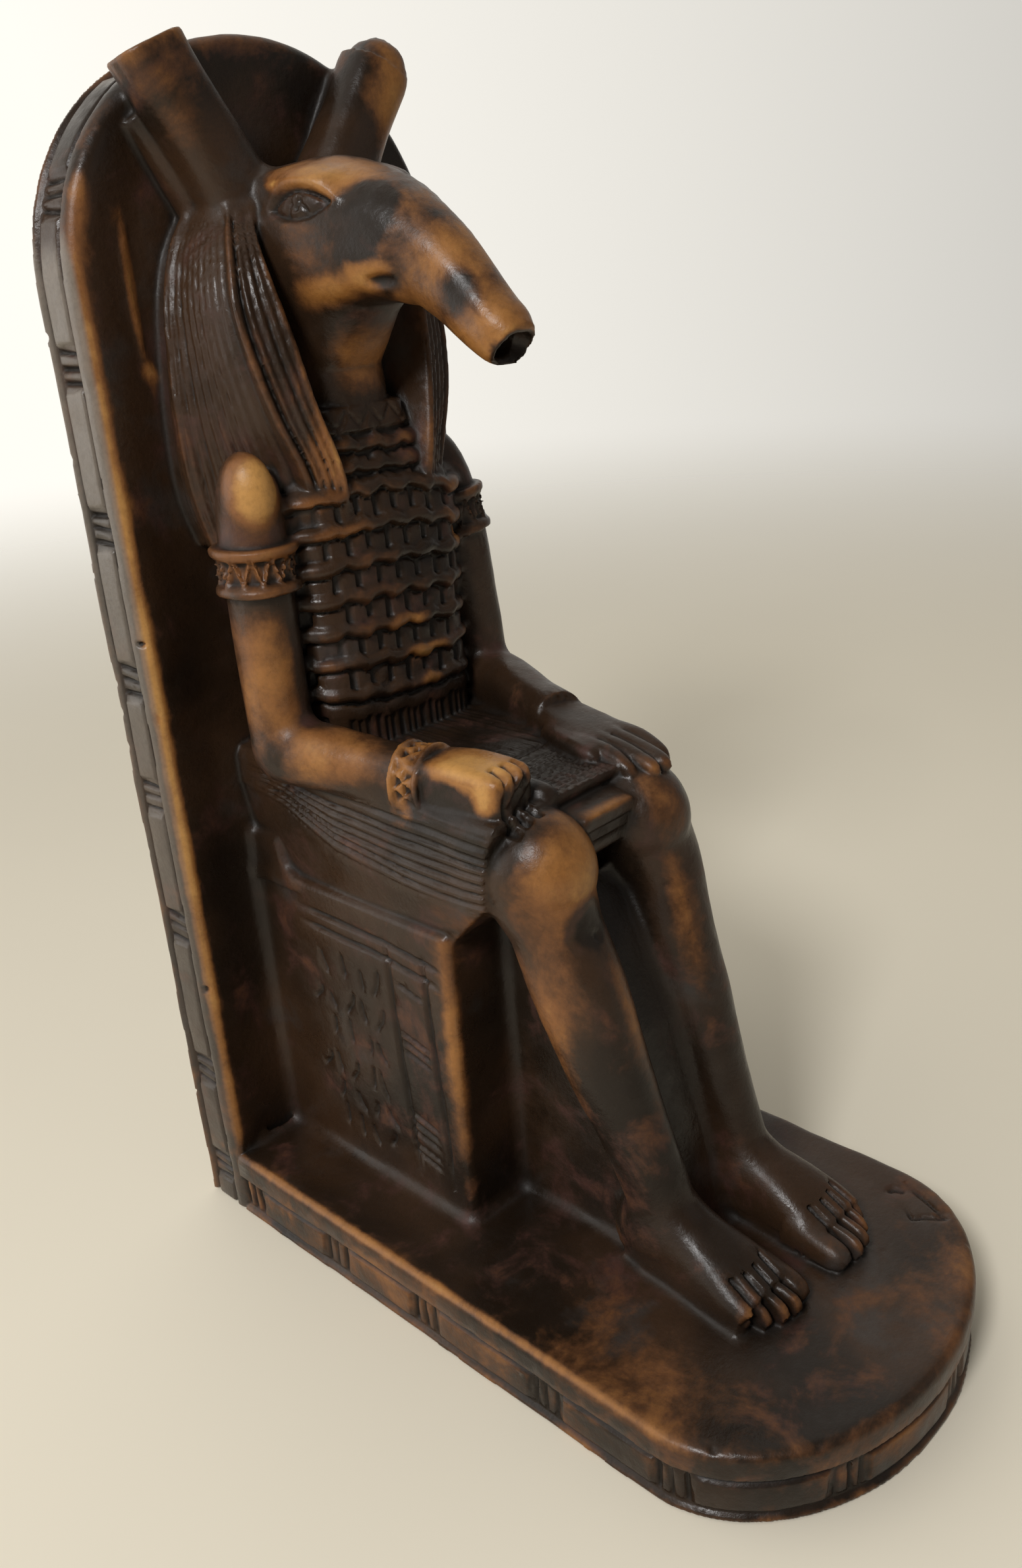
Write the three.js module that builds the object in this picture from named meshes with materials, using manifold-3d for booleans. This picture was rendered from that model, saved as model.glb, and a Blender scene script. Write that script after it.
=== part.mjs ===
// A carved Egyptian god with the head of a long-snouted animal, enthroned against a round-topped
// back slab that rises from a plinth with a rounded nose. Everything is one carved piece.
// Millimetres, +Z up. The god faces -Y, and the origin is under the middle of the plinth.
import * as THREE from "three";
import { mergeVertices } from "three/addons/utils/BufferGeometryUtils.js";
import Module from "manifold-3d";

const wasm = await Module();
wasm.setup();

// Driving dimensions
const plinth = { width: 90, depth: 168, height: 16, noseDepth: 33, edgeRadius: 2.5 };
const slab = { thickness: 14, height: 250, archRise: 41.5, edgeRadius: 3.2, dish: 0.9 };
const throne = { width: 52, depth: 59.5, height: 69, backHeight: 8, backDepth: 7.5, edgeRadius: 2.4 };
const coveRadius = 6;

// The border cut round the plinth and the slab: a sunk band between two grooves, crossed by groups
// of strokes that start from each end.
const border = { foot: 1.4, groove: 0.9, band: 6.6, sink: 0.4, grooveDepth: 1.1 };
const stroke = { width: 1.7, depth: 1.5, pitch: 2.9, count: 3, groupPitch: 30.6 };

// Datums worked out from those sizes. The seated god fills the slab from the throne's top to the arch.
const slabFront = plinth.depth / 2 - slab.thickness;
const plinthTop = plinth.height;
const throneFront = slabFront - throne.depth;
const seatedHeight = slab.height - plinthTop - throne.height;

// The figure is laid out on its own grid of millimetres, as carved at these three sizes: across, forward
// from the slab's face, and up from the plinth. The grid stretches with the throne that the figure sits on.
const carved = { seat: 69, lap: 59.5, chest: 31, seatedHeight: 165 };
const scale = seatedHeight / carved.seatedHeight;

function forward(f) {
  if (f <= carved.chest) return slabFront - f * scale;
  if (f >= carved.lap) return throneFront - (f - carved.lap) * scale;
  const share = (f - carved.chest) / (carved.lap - carved.chest);
  return THREE.MathUtils.lerp(slabFront - carved.chest * scale, throneFront, share);
}

function rise(u) {
  if (u <= carved.seat) return plinthTop + (u * throne.height) / carved.seat;
  return plinthTop + throne.height + (u - carved.seat) * scale;
}

const place = ([x, f, u]) => new THREE.Vector3(x * scale, forward(f), rise(u));

// Solids and booleans. Edges and corners that the joins leave closer than this are merged.
const sliver = 0.02;

function solid(geometry) {
  const bare = geometry.index ? geometry.toNonIndexed() : geometry.clone();
  bare.deleteAttribute("normal");
  bare.deleteAttribute("uv");
  const merged = mergeVertices(bare, 1e-4);
  const triVerts = new Uint32Array(merged.index.array);
  const vertProperties = merged.attributes.position.array;
  if (signedVolume(vertProperties, triVerts) < 0) {
    for (let i = 0; i < triVerts.length; i += 3) {
      [triVerts[i + 1], triVerts[i + 2]] = [triVerts[i + 2], triVerts[i + 1]];
    }
  }
  return new wasm.Manifold(new wasm.Mesh({ numProp: 3, vertProperties, triVerts }));
}

function signedVolume(positions, triangles) {
  const corner = (i) => new THREE.Vector3().fromArray(positions, 3 * triangles[i]);
  let volume = 0;
  for (let i = 0; i < triangles.length; i += 3) {
    volume += corner(i).dot(corner(i + 1).cross(corner(i + 2))) / 6;
  }
  return volume;
}

const join = (solids) => solids.reduce((sum, next) => sum.add(next));

function geometryOf(manifold) {
  const { vertProperties, triVerts } = manifold.getMesh();
  const geometry = new THREE.BufferGeometry();
  geometry.setAttribute("position", new THREE.BufferAttribute(vertProperties, 3));
  geometry.setIndex(new THREE.BufferAttribute(triVerts, 1));
  const flat = geometry.toNonIndexed();
  flat.computeVertexNormals();
  return flat;
}

// A closed skin over rings that all have the same number of points, with a flat cap at each end.
function skin(rings) {
  const count = rings[0].length;
  const corners = [];
  const face = (a, b, c) => corners.push(...a.toArray(), ...b.toArray(), ...c.toArray());
  for (let r = 0; r + 1 < rings.length; r++) {
    for (let k = 0; k < count; k++) {
      const next = (k + 1) % count;
      face(rings[r][k], rings[r][next], rings[r + 1][next]);
      face(rings[r][k], rings[r + 1][next], rings[r + 1][k]);
    }
  }
  for (const [ring, turned] of [[rings[0], true], [rings.at(-1), false]]) {
    const middle = ring.reduce((sum, p) => sum.add(p), new THREE.Vector3()).divideScalar(count);
    for (let k = 0; k < count; k++) {
      const next = (k + 1) % count;
      if (turned) face(middle, ring[next], ring[k]);
      else face(middle, ring[k], ring[next]);
    }
  }
  const geometry = new THREE.BufferGeometry();
  geometry.setAttribute("position", new THREE.Float32BufferAttribute(corners, 3));
  return geometry;
}

const rounded = (c, power) => Math.sign(c) * Math.abs(c) ** (2 / power);

// A limb: oval rings along a smooth line through stations [x, f, u, half width, half depth].
// A power above 2 squares the rings off, and a ripple function carves grooves along the limb.
function limb(stations, { sides = 12, steps = 8, power = 2.2, ripple = () => 0, side = 1 } = {}) {
  const line = new THREE.CatmullRomCurve3(stations.map(([x, f, u]) => place([side * x, f, u])));
  const sizes = new THREE.CatmullRomCurve3(stations.map((s) => new THREE.Vector3(s[3], s[4], 0)));
  const rings = [];
  for (let i = 0; i <= steps; i++) {
    const t = i / steps;
    const centre = line.getPoint(t);
    const along = line.getTangent(t);
    const across = new THREE.Vector3(1, 0, 0).addScaledVector(along, -along.x).normalize();
    const outward = new THREE.Vector3().crossVectors(along, across);
    const size = sizes.getPoint(t);
    const ring = [];
    for (let k = 0; k < sides; k++) {
      const angle = (2 * Math.PI * k) / sides;
      const swell = 1 + ripple(angle, t);
      ring.push(
        centre
          .clone()
          .addScaledVector(across, side * scale * size.x * swell * rounded(Math.cos(angle), power))
          .addScaledVector(outward, scale * size.y * swell * rounded(Math.sin(angle), power)),
      );
    }
    rings.push(ring);
  }
  return solid(skin(rings));
}

// An egg-shaped lump, for a knee.
function lump([x, f, u], [rx, ry, rz], side = 1, segments = 12) {
  const geometry = new THREE.SphereGeometry(1, segments, Math.round(segments * 0.7));
  geometry.rotateX(Math.PI / 2);
  geometry.scale(rx * scale, ry * scale, rz * scale);
  const centre = place([side * x, f, u]);
  geometry.translate(centre.x, centre.y, centre.z);
  return solid(geometry);
}

// A chisel cut with a V section, along a straight line from one point to the other. The cut is open
// towards the outward direction.
function chiselCut(from, to, outward, width, depth) {
  const along = new THREE.Vector3().subVectors(to, from).normalize();
  const across = new THREE.Vector3().crossVectors(along, outward).normalize();
  const up = new THREE.Vector3().crossVectors(across, along);
  const ring = (p) => [
    p.clone().addScaledVector(up, -depth),
    p.clone().addScaledVector(up, depth).addScaledVector(across, width),
    p.clone().addScaledVector(up, depth).addScaledVector(across, -width),
  ];
  return solid(skin([ring(from), ring(to)]));
}

// Outlines of the plinth in plan and of the slab in elevation, drawn in by an inset.
function noseOutline(inset, segments = 16) {
  const half = plinth.width / 2 - inset;
  const springs = -plinth.depth / 2 + plinth.noseDepth;
  const points = [[-half, slabFront + 1]];
  for (let i = 0; i <= segments; i++) {
    const angle = (Math.PI * i) / segments;
    points.push([-half * Math.cos(angle), springs - (plinth.noseDepth - inset) * Math.sin(angle)]);
  }
  points.push([half, slabFront + 1]);
  return points;
}

function archOutline(inset, segments = 16) {
  const half = plinth.width / 2 - inset;
  const springs = slab.height - slab.archRise;
  const points = [[-half, 0]];
  for (let i = 0; i <= segments; i++) {
    const angle = (Math.PI * i) / segments;
    points.push([-half * Math.cos(angle), springs + (slab.archRise - inset) * Math.sin(angle)]);
  }
  points.push([half, 0]);
  return points;
}

// The border's section: [inset, distance from the back or the foot], up to the rounded front edge.
function borderSection(total, edgeRadius) {
  const bandStart = border.foot + border.groove;
  const bandEnd = bandStart + border.band;
  const section = [
    [0, 0],
    [0, border.foot],
    [border.grooveDepth, border.foot + border.groove / 2],
    [border.sink, bandStart],
    [border.sink, bandEnd],
    [border.grooveDepth, bandEnd + border.groove / 2],
    [0, bandEnd + border.groove],
  ];
  for (const turn of [0, 0.5, 1]) {
    const angle = (turn * Math.PI) / 2;
    section.push([edgeRadius * (1 - Math.cos(angle)), total - edgeRadius * (1 - Math.sin(angle))]);
  }
  return section;
}

function makePlinth() {
  const rings = borderSection(plinth.height, plinth.edgeRadius).map(([inset, z]) =>
    noseOutline(inset).map(([x, y]) => new THREE.Vector3(x, y, z)),
  );
  return solid(skin(rings));
}

function makeSlab() {
  const section = borderSection(slab.thickness, slab.edgeRadius);
  section.push([slab.edgeRadius + 2.5, slab.thickness - slab.dish]);
  const rings = section.map(([inset, depth]) =>
    archOutline(inset).map(([x, z]) => new THREE.Vector3(x, plinth.depth / 2 - depth, z)),
  );
  return solid(skin(rings));
}

// A bar along X with the outline [y, z] given.
function barAcross(outline, half) {
  const ring = (x) => outline.map(([y, z]) => new THREE.Vector3(x, y, z));
  return solid(skin([ring(-half), ring(half)]));
}

// The hollow corner where the slab's face turns into the plinth's top.
function makeCove() {
  const outline = [
    [slabFront + 2, plinthTop - 1],
    [slabFront - coveRadius, plinthTop - 1],
  ];
  for (let i = 0; i <= 4; i++) {
    const angle = (Math.PI / 2) * (i / 4);
    outline.push([
      slabFront - coveRadius * (1 - Math.sin(angle)),
      plinthTop + coveRadius * (1 - Math.cos(angle)),
    ]);
  }
  outline.push([slabFront + 2, plinthTop + coveRadius]);
  return barAcross(outline, plinth.width / 2 - slab.edgeRadius);
}

// Stops at the given distances along an outline, each with the outline's direction there.
function stopsAlong(outline, distances) {
  const points = outline.map(([a, b]) => new THREE.Vector2(a, b));
  return distances.map((distance) => {
    let left = distance;
    for (let i = 0; i + 1 < points.length; i++) {
      const step = points[i].distanceTo(points[i + 1]);
      if (left <= step || i + 2 === points.length) {
        const along = points[i + 1].clone().sub(points[i]).normalize();
        return { at: points[i].clone().addScaledVector(along, left), along };
      }
      left -= step;
    }
  });
}

// Distances of the strokes: groups at an even pitch from each end, stopping short of the middle.
function strokeDistances(outline, first) {
  let length = 0;
  for (let i = 0; i + 1 < outline.length; i++) {
    length += Math.hypot(outline[i + 1][0] - outline[i][0], outline[i + 1][1] - outline[i][1]);
  }
  const distances = [];
  for (let d = first; d <= length / 2; d += stroke.groupPitch) {
    for (let s = 0; s < stroke.count; s++) {
      const offset = (s - (stroke.count - 1) / 2) * stroke.pitch;
      distances.push(d + offset);
      if (length - 2 * d > stroke.groupPitch / 3) distances.push(length - d - offset);
    }
  }
  return distances;
}

function borderStrokes(outline, first, toWorld, turn) {
  const low = border.foot + border.groove + 0.3;
  const high = border.foot + border.groove + border.band - 0.3;
  return stopsAlong(outline, strokeDistances(outline, first)).map(({ at, along }) => {
    const from = toWorld(at, low);
    const outward = toWorld(new THREE.Vector2(-along.y, along.x).multiplyScalar(turn).add(at), low);
    outward.sub(from).normalize();
    return chiselCut(from, toWorld(at, high), outward, stroke.width / 2, stroke.depth);
  });
}

function plinthStrokes() {
  const first = 5;
  return borderStrokes(noseOutline(border.sink), first, (p, d) => new THREE.Vector3(p.x, p.y, d), -1);
}

function slabStrokes() {
  const first = 9.5;
  const back = plinth.depth / 2;
  return borderStrokes(archOutline(border.sink), first, (p, d) => new THREE.Vector3(p.x, back - d, p.y), 1);
}

// The throne: a block with worn front corners and a low back that steps down to the seat.
function makeThrone() {
  const top = plinthTop + throne.height;
  const outline = (inset) => {
    const half = throne.width / 2 - inset;
    const front = throneFront + inset;
    const r = throne.edgeRadius;
    const corner = (side, k) => {
      const angle = (Math.PI / 2) * k;
      return [side * (half - r * (1 - Math.cos(angle))), front + r * (1 - Math.sin(angle))];
    };
    return [
      [-half, slabFront + 2],
      corner(-1, 0),
      corner(-1, 0.5),
      corner(-1, 1),
      corner(1, 1),
      corner(1, 0.5),
      corner(1, 0),
      [half, slabFront + 2],
    ];
  };
  const levels = [
    [0, plinthTop - 1],
    [0, top - 1.6],
    [1.6, top],
  ];
  const seat = solid(
    skin(levels.map(([inset, z]) => outline(inset).map(([x, y]) => new THREE.Vector3(x, y, z)))),
  );
  const back = barAcross(
    [
      [slabFront + 2, top - 1],
      [slabFront - throne.backDepth - 3, top - 1],
      [slabFront - throne.backDepth - 1, top + 2],
      [slabFront - throne.backDepth, top + throne.backHeight],
      [slabFront + 2, top + throne.backHeight + 0.8],
    ],
    throne.width / 2,
  );
  return seat.add(back);
}

// Cut lines on the throne's sides: a frame, and rows of short strokes in it.
function throneCuts() {
  const half = throne.width / 2;
  const top = plinthTop + throne.height;
  const lines = {
    edge: throneFront + 5.5,
    column: throneFront + 17.5,
    rear: slabFront - 10,
    high: top - 8,
    panel: top - 13,
    foot: plinthTop + 6.5,
  };
  const cuts = [];
  for (const side of [-1, 1]) {
    const cut = (y0, z0, y1, z1, width = 0.65, depth = 0.7) => {
      const from = new THREE.Vector3(side * half, y0, z0);
      const to = new THREE.Vector3(side * half, y1, z1);
      cuts.push(chiselCut(from, to, new THREE.Vector3(side, 0, 0), width, depth));
    };
    cut(lines.edge, lines.high, lines.rear, lines.high);
    cut(lines.column, lines.panel, lines.rear, lines.panel);
    cut(lines.edge, lines.foot, lines.edge, lines.high - 1.2);
    cut(lines.column, lines.foot, lines.column, lines.panel - 1.2);
    for (const z of [lines.foot + 3, lines.foot + 29]) {
      for (const lift of [0, 2.6]) {
        cut(lines.edge + 1.6, z + lift, lines.column - 1.6, z + lift - 0.6, 0.5, 0.5);
      }
    }
    for (const [z, count] of [[lines.panel - 11, 4], [lines.panel - 25, 3]]) {
      for (let i = 0; i < count; i++) {
        const y = lines.column + 5 + i * 3.6;
        cut(y, z, y + 0.4, z + 6, 0.5, 0.5);
      }
    }
  }
  return cuts;
}

// The web of stone left between the calves and the throne.
const web = { halfWidth: 11.5, shift: 1.5 };

function makeWeb() {
  const outline = [
    [carved.lap - 1, -1],
    [98, -1],
    [91, 20],
    [84.5, 46],
    [78.5, 64],
    [74, 76],
    [carved.lap - 1, 76],
  ];
  const ring = (x) =>
    outline.map(([f, u]) => new THREE.Vector3((web.shift + x) * scale, forward(f), rise(u)));
  return solid(skin([ring(-web.halfWidth), ring(web.halfWidth)]));
}

// The figure
// The body in its corselet, as level rings. Wavy bands go round the front, and between them the
// upright plates stand out from the ground, which is sunk.
const corselet = { bands: 8, firstBand: 109, lastBand: 151, plates: 5, bandHeight: 3, bandLift: 1.6, sink: 1.1 };

// Half width, the front's distance from the slab, and the height
const bodyRows = [
  [22, 28.5, 66],
  [21.4, 28.6, 92],
  [20.6, 28.2, 106],
  [20.6, 28.2, 118],
  [22.2, 28.4, 140],
  [22.8, 28, 151.5],
  [21, 26.5, 155],
  [13.4, 26.2, 159],
  [12.4, 25.6, 163],
  [11.6, 24.6, 168],
];

function bodyAt(u) {
  let i = 0;
  while (i + 2 < bodyRows.length && u > bodyRows[i + 1][2]) i++;
  const [a, b] = [bodyRows[i], bodyRows[i + 1]];
  const t = THREE.MathUtils.clamp((u - a[2]) / (b[2] - a[2]), 0, 1);
  return [THREE.MathUtils.lerp(a[0], b[0], t), THREE.MathUtils.lerp(a[1], b[1], t)];
}

function bodyRing(u, lift, fluted, wave = 0) {
  const [half, front] = bodyAt(u);
  const columns = 2 * corselet.plates + 1;
  const points = [[-half, -2, u]];
  for (let k = 0; k <= columns + 1; k++) {
    const angle = Math.PI * (0.06 + (0.88 * k) / (columns + 1));
    const out = lift + (fluted && k % 2 ? corselet.sink * 0.8 : 0);
    points.push([
      -(half + out) * rounded(Math.cos(angle), 4),
      front - 11 + (11 + out) * rounded(Math.sin(angle), 4),
      u + (k % 2 ? wave : -wave),
    ]);
  }
  points.push([half, -2, u]);
  return points.map(place);
}

function makeBody() {
  const rings = [bodyRing(94, 0, true), bodyRing(106, 0, true)];
  const pitch = (corselet.lastBand - corselet.firstBand) / (corselet.bands - 1);
  for (let i = 0; i < corselet.bands; i++) {
    const u = corselet.firstBand + pitch * i;
    const half = corselet.bandHeight / 2;
    rings.push(bodyRing(u - half - 0.4, 0, true, 0.4));
    rings.push(bodyRing(u - half * 0.6, corselet.bandLift, false, 0.4));
    rings.push(bodyRing(u + half * 0.6, corselet.bandLift, false, 0.4));
    rings.push(bodyRing(u + half + 0.4, 0, true, 0.4));
  }
  for (const [u, lift] of [[155, 0], [156, 1], [157.6, 0], [159.4, 0], [160.6, 1], [162, 0], [168, 0]]) {
    rings.push(bodyRing(u, lift, false));
  }
  return solid(skin(rings));
}

function makeNeck() {
  return limb(
    [
      [0, 10, 160, 11, 14.4],
      [0, 10.5, 168, 10.4, 14],
      [0, 10, 175, 10.2, 13.2],
      [0, 13, 183, 11, 17],
      [0, 15, 190, 11, 18],
    ],
    { sides: 10, steps: 4 },
  );
}

function makeHead() {
  const stations = [
    [0, -2, 195.5, 14, 13.5],
    [0, 11, 196.6, 14.6, 14],
    [0, 24.6, 197, 13.6, 13.6],
    [0, 35.9, 196.1, 10.4, 10.7],
    [0, 45.3, 192.5, 8, 8.3],
    [0, 52.2, 187.8, 6.5, 6.9],
    [0, 58.2, 182.4, 5.7, 6],
    [0, 62.6, 179, 5.2, 5.3],
    [0, 64.8, 177.6, 3.6, 3.8],
  ];
  return limb(stations, { sides: 12, steps: 10, power: 2.15 });
}

function makeEar(side) {
  const stations = [
    [9, 6, 200, 8.6, 8],
    [13, 6, 207, 7.2, 6.6],
    [19.3, 6.2, 217.5, 6.2, 5.8],
    [25.8, 6.8, 229, 6.6, 5.8],
    [26.8, 6.9, 230.8, 5.8, 5],
  ];
  return limb(stations, { sides: 8, steps: 4, power: 2.4, side });
}

// One side of the wig, in level rings: the hair's outer face runs from the slab to the lappet, and
// the lappet's face is cut into strands. Each row gives the height, the half width at the slab, and
// the outer and inner corner of the lappet.
const wigRows = [
  [142, 27, [16, 22], [10.5, 25]],
  [153, 30.2, [16.8, 25], [11.2, 28.4]],
  [168, 30.1, [21.9, 23.4], [14.6, 26.6]],
  [184, 28.4, [24.4, 20.6], [17.2, 23.8]],
  [195, 25.4, [22.2, 17.4], [17.9, 19.8]],
  [203, 19.8, [17.4, 12.4], [14.2, 14.2]],
  [206.5, 14, [12, 9.4], [10.4, 10.6]],
];

function makeWig(side) {
  const strands = 3;
  const locks = 3;
  const rings = wigRows.map(([u, back, outer, inner]) => {
    const points = [[back, -2]];
    for (let i = 0; i <= 2 * locks; i++) {
      const t = i / (2 * locks);
      const bulge = 1.4 * Math.sin(Math.PI * t) + (i % 2 ? 0.45 : -0.15);
      points.push([
        THREE.MathUtils.lerp(back, outer[0], t ** 1.5) + bulge * 0.8,
        THREE.MathUtils.lerp(1, outer[1], t) + bulge * 0.5 - (i === 2 * locks ? 1.2 : 0),
      ]);
    }
    for (let i = 0; i <= 2 * strands; i++) {
      const t = i / (2 * strands);
      points.push([
        THREE.MathUtils.lerp(outer[0], inner[0], t),
        THREE.MathUtils.lerp(outer[1], inner[1], t) + (i % 2 ? 0.6 : -0.25),
      ]);
    }
    points.push([inner[0] - 1.5, inner[1] - 5], [5, 4], [5, -2]);
    return points.map(([x, f]) => place([side * x, f, u]));
  });
  return solid(skin(rings));
}

function makeArm(side) {
  const upper = limb(
    [
      [26.4, 18, 162, 2, 2],
      [26.8, 18.2, 159.5, 5.8, 5.8],
      [27.4, 18.6, 151, 7.6, 7.8],
      [27.8, 18.8, 133, 6.9, 7.5],
      [28.2, 19, 115, 6.4, 7],
      [28.4, 20, 103, 5.6, 6],
      [28.4, 20.6, 98.5, 3.6, 4],
    ],
    { sides: 8, steps: 6, side },
  );
  const lower = limb(
    [
      [28.6, 15, 102, 3.6, 4],
      [28.2, 19, 101.6, 6.4, 6.4],
      [26.4, 29, 101, 6.5, 6.5],
      [22.6, 42, 99.6, 5.8, 6],
      [20.2, 50, 99, 5.6, 5.7],
    ],
    { sides: 8, steps: 4, side },
  );
  return join([upper, lower, makeBand([27.9, 18.8, 134.2], [27.8, 18.8, 144], 8, side)]);
}

// A band with a rim at each end, round a limb from one point to another.
function makeBand(from, to, radius, side) {
  const at = (t) => from.map((v, i) => THREE.MathUtils.lerp(v, to[i], t));
  const rims = [
    [0, 1.05],
    [0.17, 1.05],
    [0.22, 0.96],
    [0.78, 0.96],
    [0.83, 1.05],
    [1, 1.05],
  ];
  const start = place([side * from[0], from[1], from[2]]);
  const along = place([side * to[0], to[1], to[2]]).sub(start).normalize();
  const across = new THREE.Vector3(1, 0, 0).addScaledVector(along, -along.x).normalize();
  const outward = new THREE.Vector3().crossVectors(along, across);
  const rings = rims.map(([t, share]) => {
    const [x, f, u] = at(t);
    const centre = place([side * x, f, u]);
    return Array.from({ length: 8 }, (_, k) => {
      const angle = (2 * Math.PI * k) / 8;
      return centre
        .clone()
        .addScaledVector(across, scale * radius * share * Math.cos(angle))
        .addScaledVector(outward, scale * radius * share * Math.sin(angle));
    });
  });
  return solid(skin(rings));
}

// The figure's right hand is a fist and its left hand lies flat.
function makeFist() {
  const fist = limb(
    [
      [20.2, 49, 99, 5.4, 5.4],
      [19.2, 54, 99.4, 6.6, 6],
      [17.6, 62.5, 99.2, 7, 6.4],
      [16.6, 69, 98.4, 6.7, 6.2],
      [16.4, 70.8, 98.2, 5.4, 5],
    ],
    { sides: 12, steps: 3, power: 4, side: -1 },
  );
  const cuts = [-3.5, 0, 3.5].map((dx) =>
    chiselCut(
      place([-16.4 + dx, 71.4, 91]),
      place([-16.8 + dx, 69.4, 104.6]),
      new THREE.Vector3(0, -1, 0),
      0.8,
      1.6,
    ),
  );
  return fist.subtract(join(cuts));
}

function makeFlatHand() {
  const palm = limb(
    [
      [20.6, 48, 98.8, 5.2, 4.8],
      [19.8, 54, 98, 6.6, 3.8],
      [18.6, 62, 97.2, 7.2, 3.2],
      [18, 66, 96.6, 6.8, 2.8],
    ],
    { sides: 10, steps: 3, power: 2.8 },
  );
  const fingers = [-5.3, -1.8, 1.8, 5.3].map((dx, i) => {
    const reach = [76.5, 79.5, 79.5, 76.5][i];
    return limb(
      [
        [18 + dx, 62, 97.4, 1.9, 2.3],
        [17.6 + dx, 70, 96.4, 1.8, 2.2],
        [17.2 + dx, reach - 2, 94.4, 1.7, 2],
        [17.1 + dx, reach, 93, 1.2, 1.4],
      ],
      { sides: 6, steps: 2 },
    );
  });
  const thumb = limb(
    [
      [14.2, 54, 97.4, 2.2, 2.4],
      [11, 61, 96.8, 2.1, 2.3],
      [9.4, 67.5, 96.4, 1.9, 2],
      [9.1, 69.5, 96, 1, 1],
    ],
    { sides: 6, steps: 2 },
  );
  return join([palm, ...fingers, thumb]);
}

// The kilt: pleated cloth over the thighs, with a stiff panel that ends between the knees. Its side
// pleats fan out from the hip. Each row gives the distance forward, the half width, and the heights
// of the lowest pleat and of the lap.
const kilt = { sidePleats: 7, lapPleats: 5, fold: 0.9, seatInset: 3.2 };
const kiltRows = [
  [-2, 26.2, 89, 97.6],
  [14, 27, 86, 98.2],
  [30, 27, 77, 98.2],
  [66, 24.8, 72, 97],
  [71, 24.2, 73, 96.2],
];

function makeKilt() {
  const rings = kiltRows.map(([f, half, low, high]) => {
    const edge = [
      [half - kilt.seatInset, 66],
      [half - kilt.seatInset * 0.6, low - 0.8],
    ];
    const roundness = 3;
    for (let i = 0; i < 2 * kilt.sidePleats; i++) {
      const up = THREE.MathUtils.lerp(low, high - roundness * 0.7, i / (2 * kilt.sidePleats - 1));
      edge.push([half - (i % 2 ? 0 : kilt.fold), up]);
    }
    for (let i = 0; i <= kilt.lapPleats; i++) {
      const x = (half - roundness) * (1 - i / kilt.lapPleats);
      edge.push([x, high - (i % 2 ? kilt.fold * 0.6 : 0)]);
    }
    const mirrored = edge.slice(0, -1).reverse();
    return [...edge, ...mirrored.map(([x, up]) => [-x, up])].map(([x, up]) => place([x, f, up]));
  });
  const panel = limb(
    [
      [1, 46, 92, 9, 5.6],
      [1, 78.5, 88.4, 7.4, 4.8],
      [1, 80, 88, 6.8, 4.2],
    ],
    { sides: 8, steps: 2, power: 8 },
  );
  const folds = [0, 1, 2, 3].map((i) =>
    chiselCut(
      place([-9, 60 + i * 4.4, 96.4 - i * 0.5]),
      place([11, 57.5 + i * 4.4, 96.4 - i * 0.5]),
      new THREE.Vector3(0, 0, 1),
      0.6,
      1,
    ),
  );
  return solid(skin(rings)).add(panel).subtract(join(folds));
}

// The legs lean a little to the figure's left, more so towards the feet.
const legLean = { knee: 0.8, foot: 3.2 };

function makeLeg(side) {
  const lean = (u) => THREE.MathUtils.lerp(legLean.foot, legLean.knee, THREE.MathUtils.clamp(u / 86, 0, 1));
  const set = (stations) => stations.map(([x, f, u, ...sizes]) => [side * x + lean(u), f, u, ...sizes]);
  const knee = lump([side * 15 + legLean.knee, 71.6, 86.6], [9.2, 11.4, 9.9], 1, 8);
  const shin = limb(
    set([
      [15, 74.5, 90, 7, 6.6],
      [14.8, 76.8, 78, 8.2, 8],
      [14.6, 81.5, 64, 7.7, 7.8],
      [14, 87.5, 46, 6.8, 7.2],
      [13.2, 93.6, 30, 5.9, 6.4],
      [12.9, 98.2, 18, 5.6, 6],
      [12.8, 100.6, 8, 6, 7],
    ]),
    { sides: 10, steps: 4 },
  );
  const foot = limb(
    set([
      [12.6, 91, 4, 4.4, 5],
      [12.6, 95.5, 6, 5.8, 8],
      [12.6, 103, 7, 6.6, 8.6],
      [12.7, 110, 5.6, 7.4, 7],
      [12.8, 118, 3.8, 8, 5.2],
      [12.8, 124, 2.4, 8, 4.1],
      [12.8, 126.4, 2, 7, 3.6],
    ]),
    { sides: 10, steps: 5, power: 2.8 },
  );
  const cuts = [-4.8, -1.6, 1.6, 4.6].map((dx) => {
    const toe = 126 - Math.abs(dx) * 0.4;
    const x = side * (12.8 + dx) + legLean.foot;
    return chiselCut(
      place([x, toe - 9, 8.4]),
      place([x - side * 0.4, toe + 1, 4]),
      new THREE.Vector3(0, -0.5, 1).normalize(),
      0.7,
      1.6,
    );
  });
  return join([knee, shin, foot]).subtract(join(cuts));
}

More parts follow.
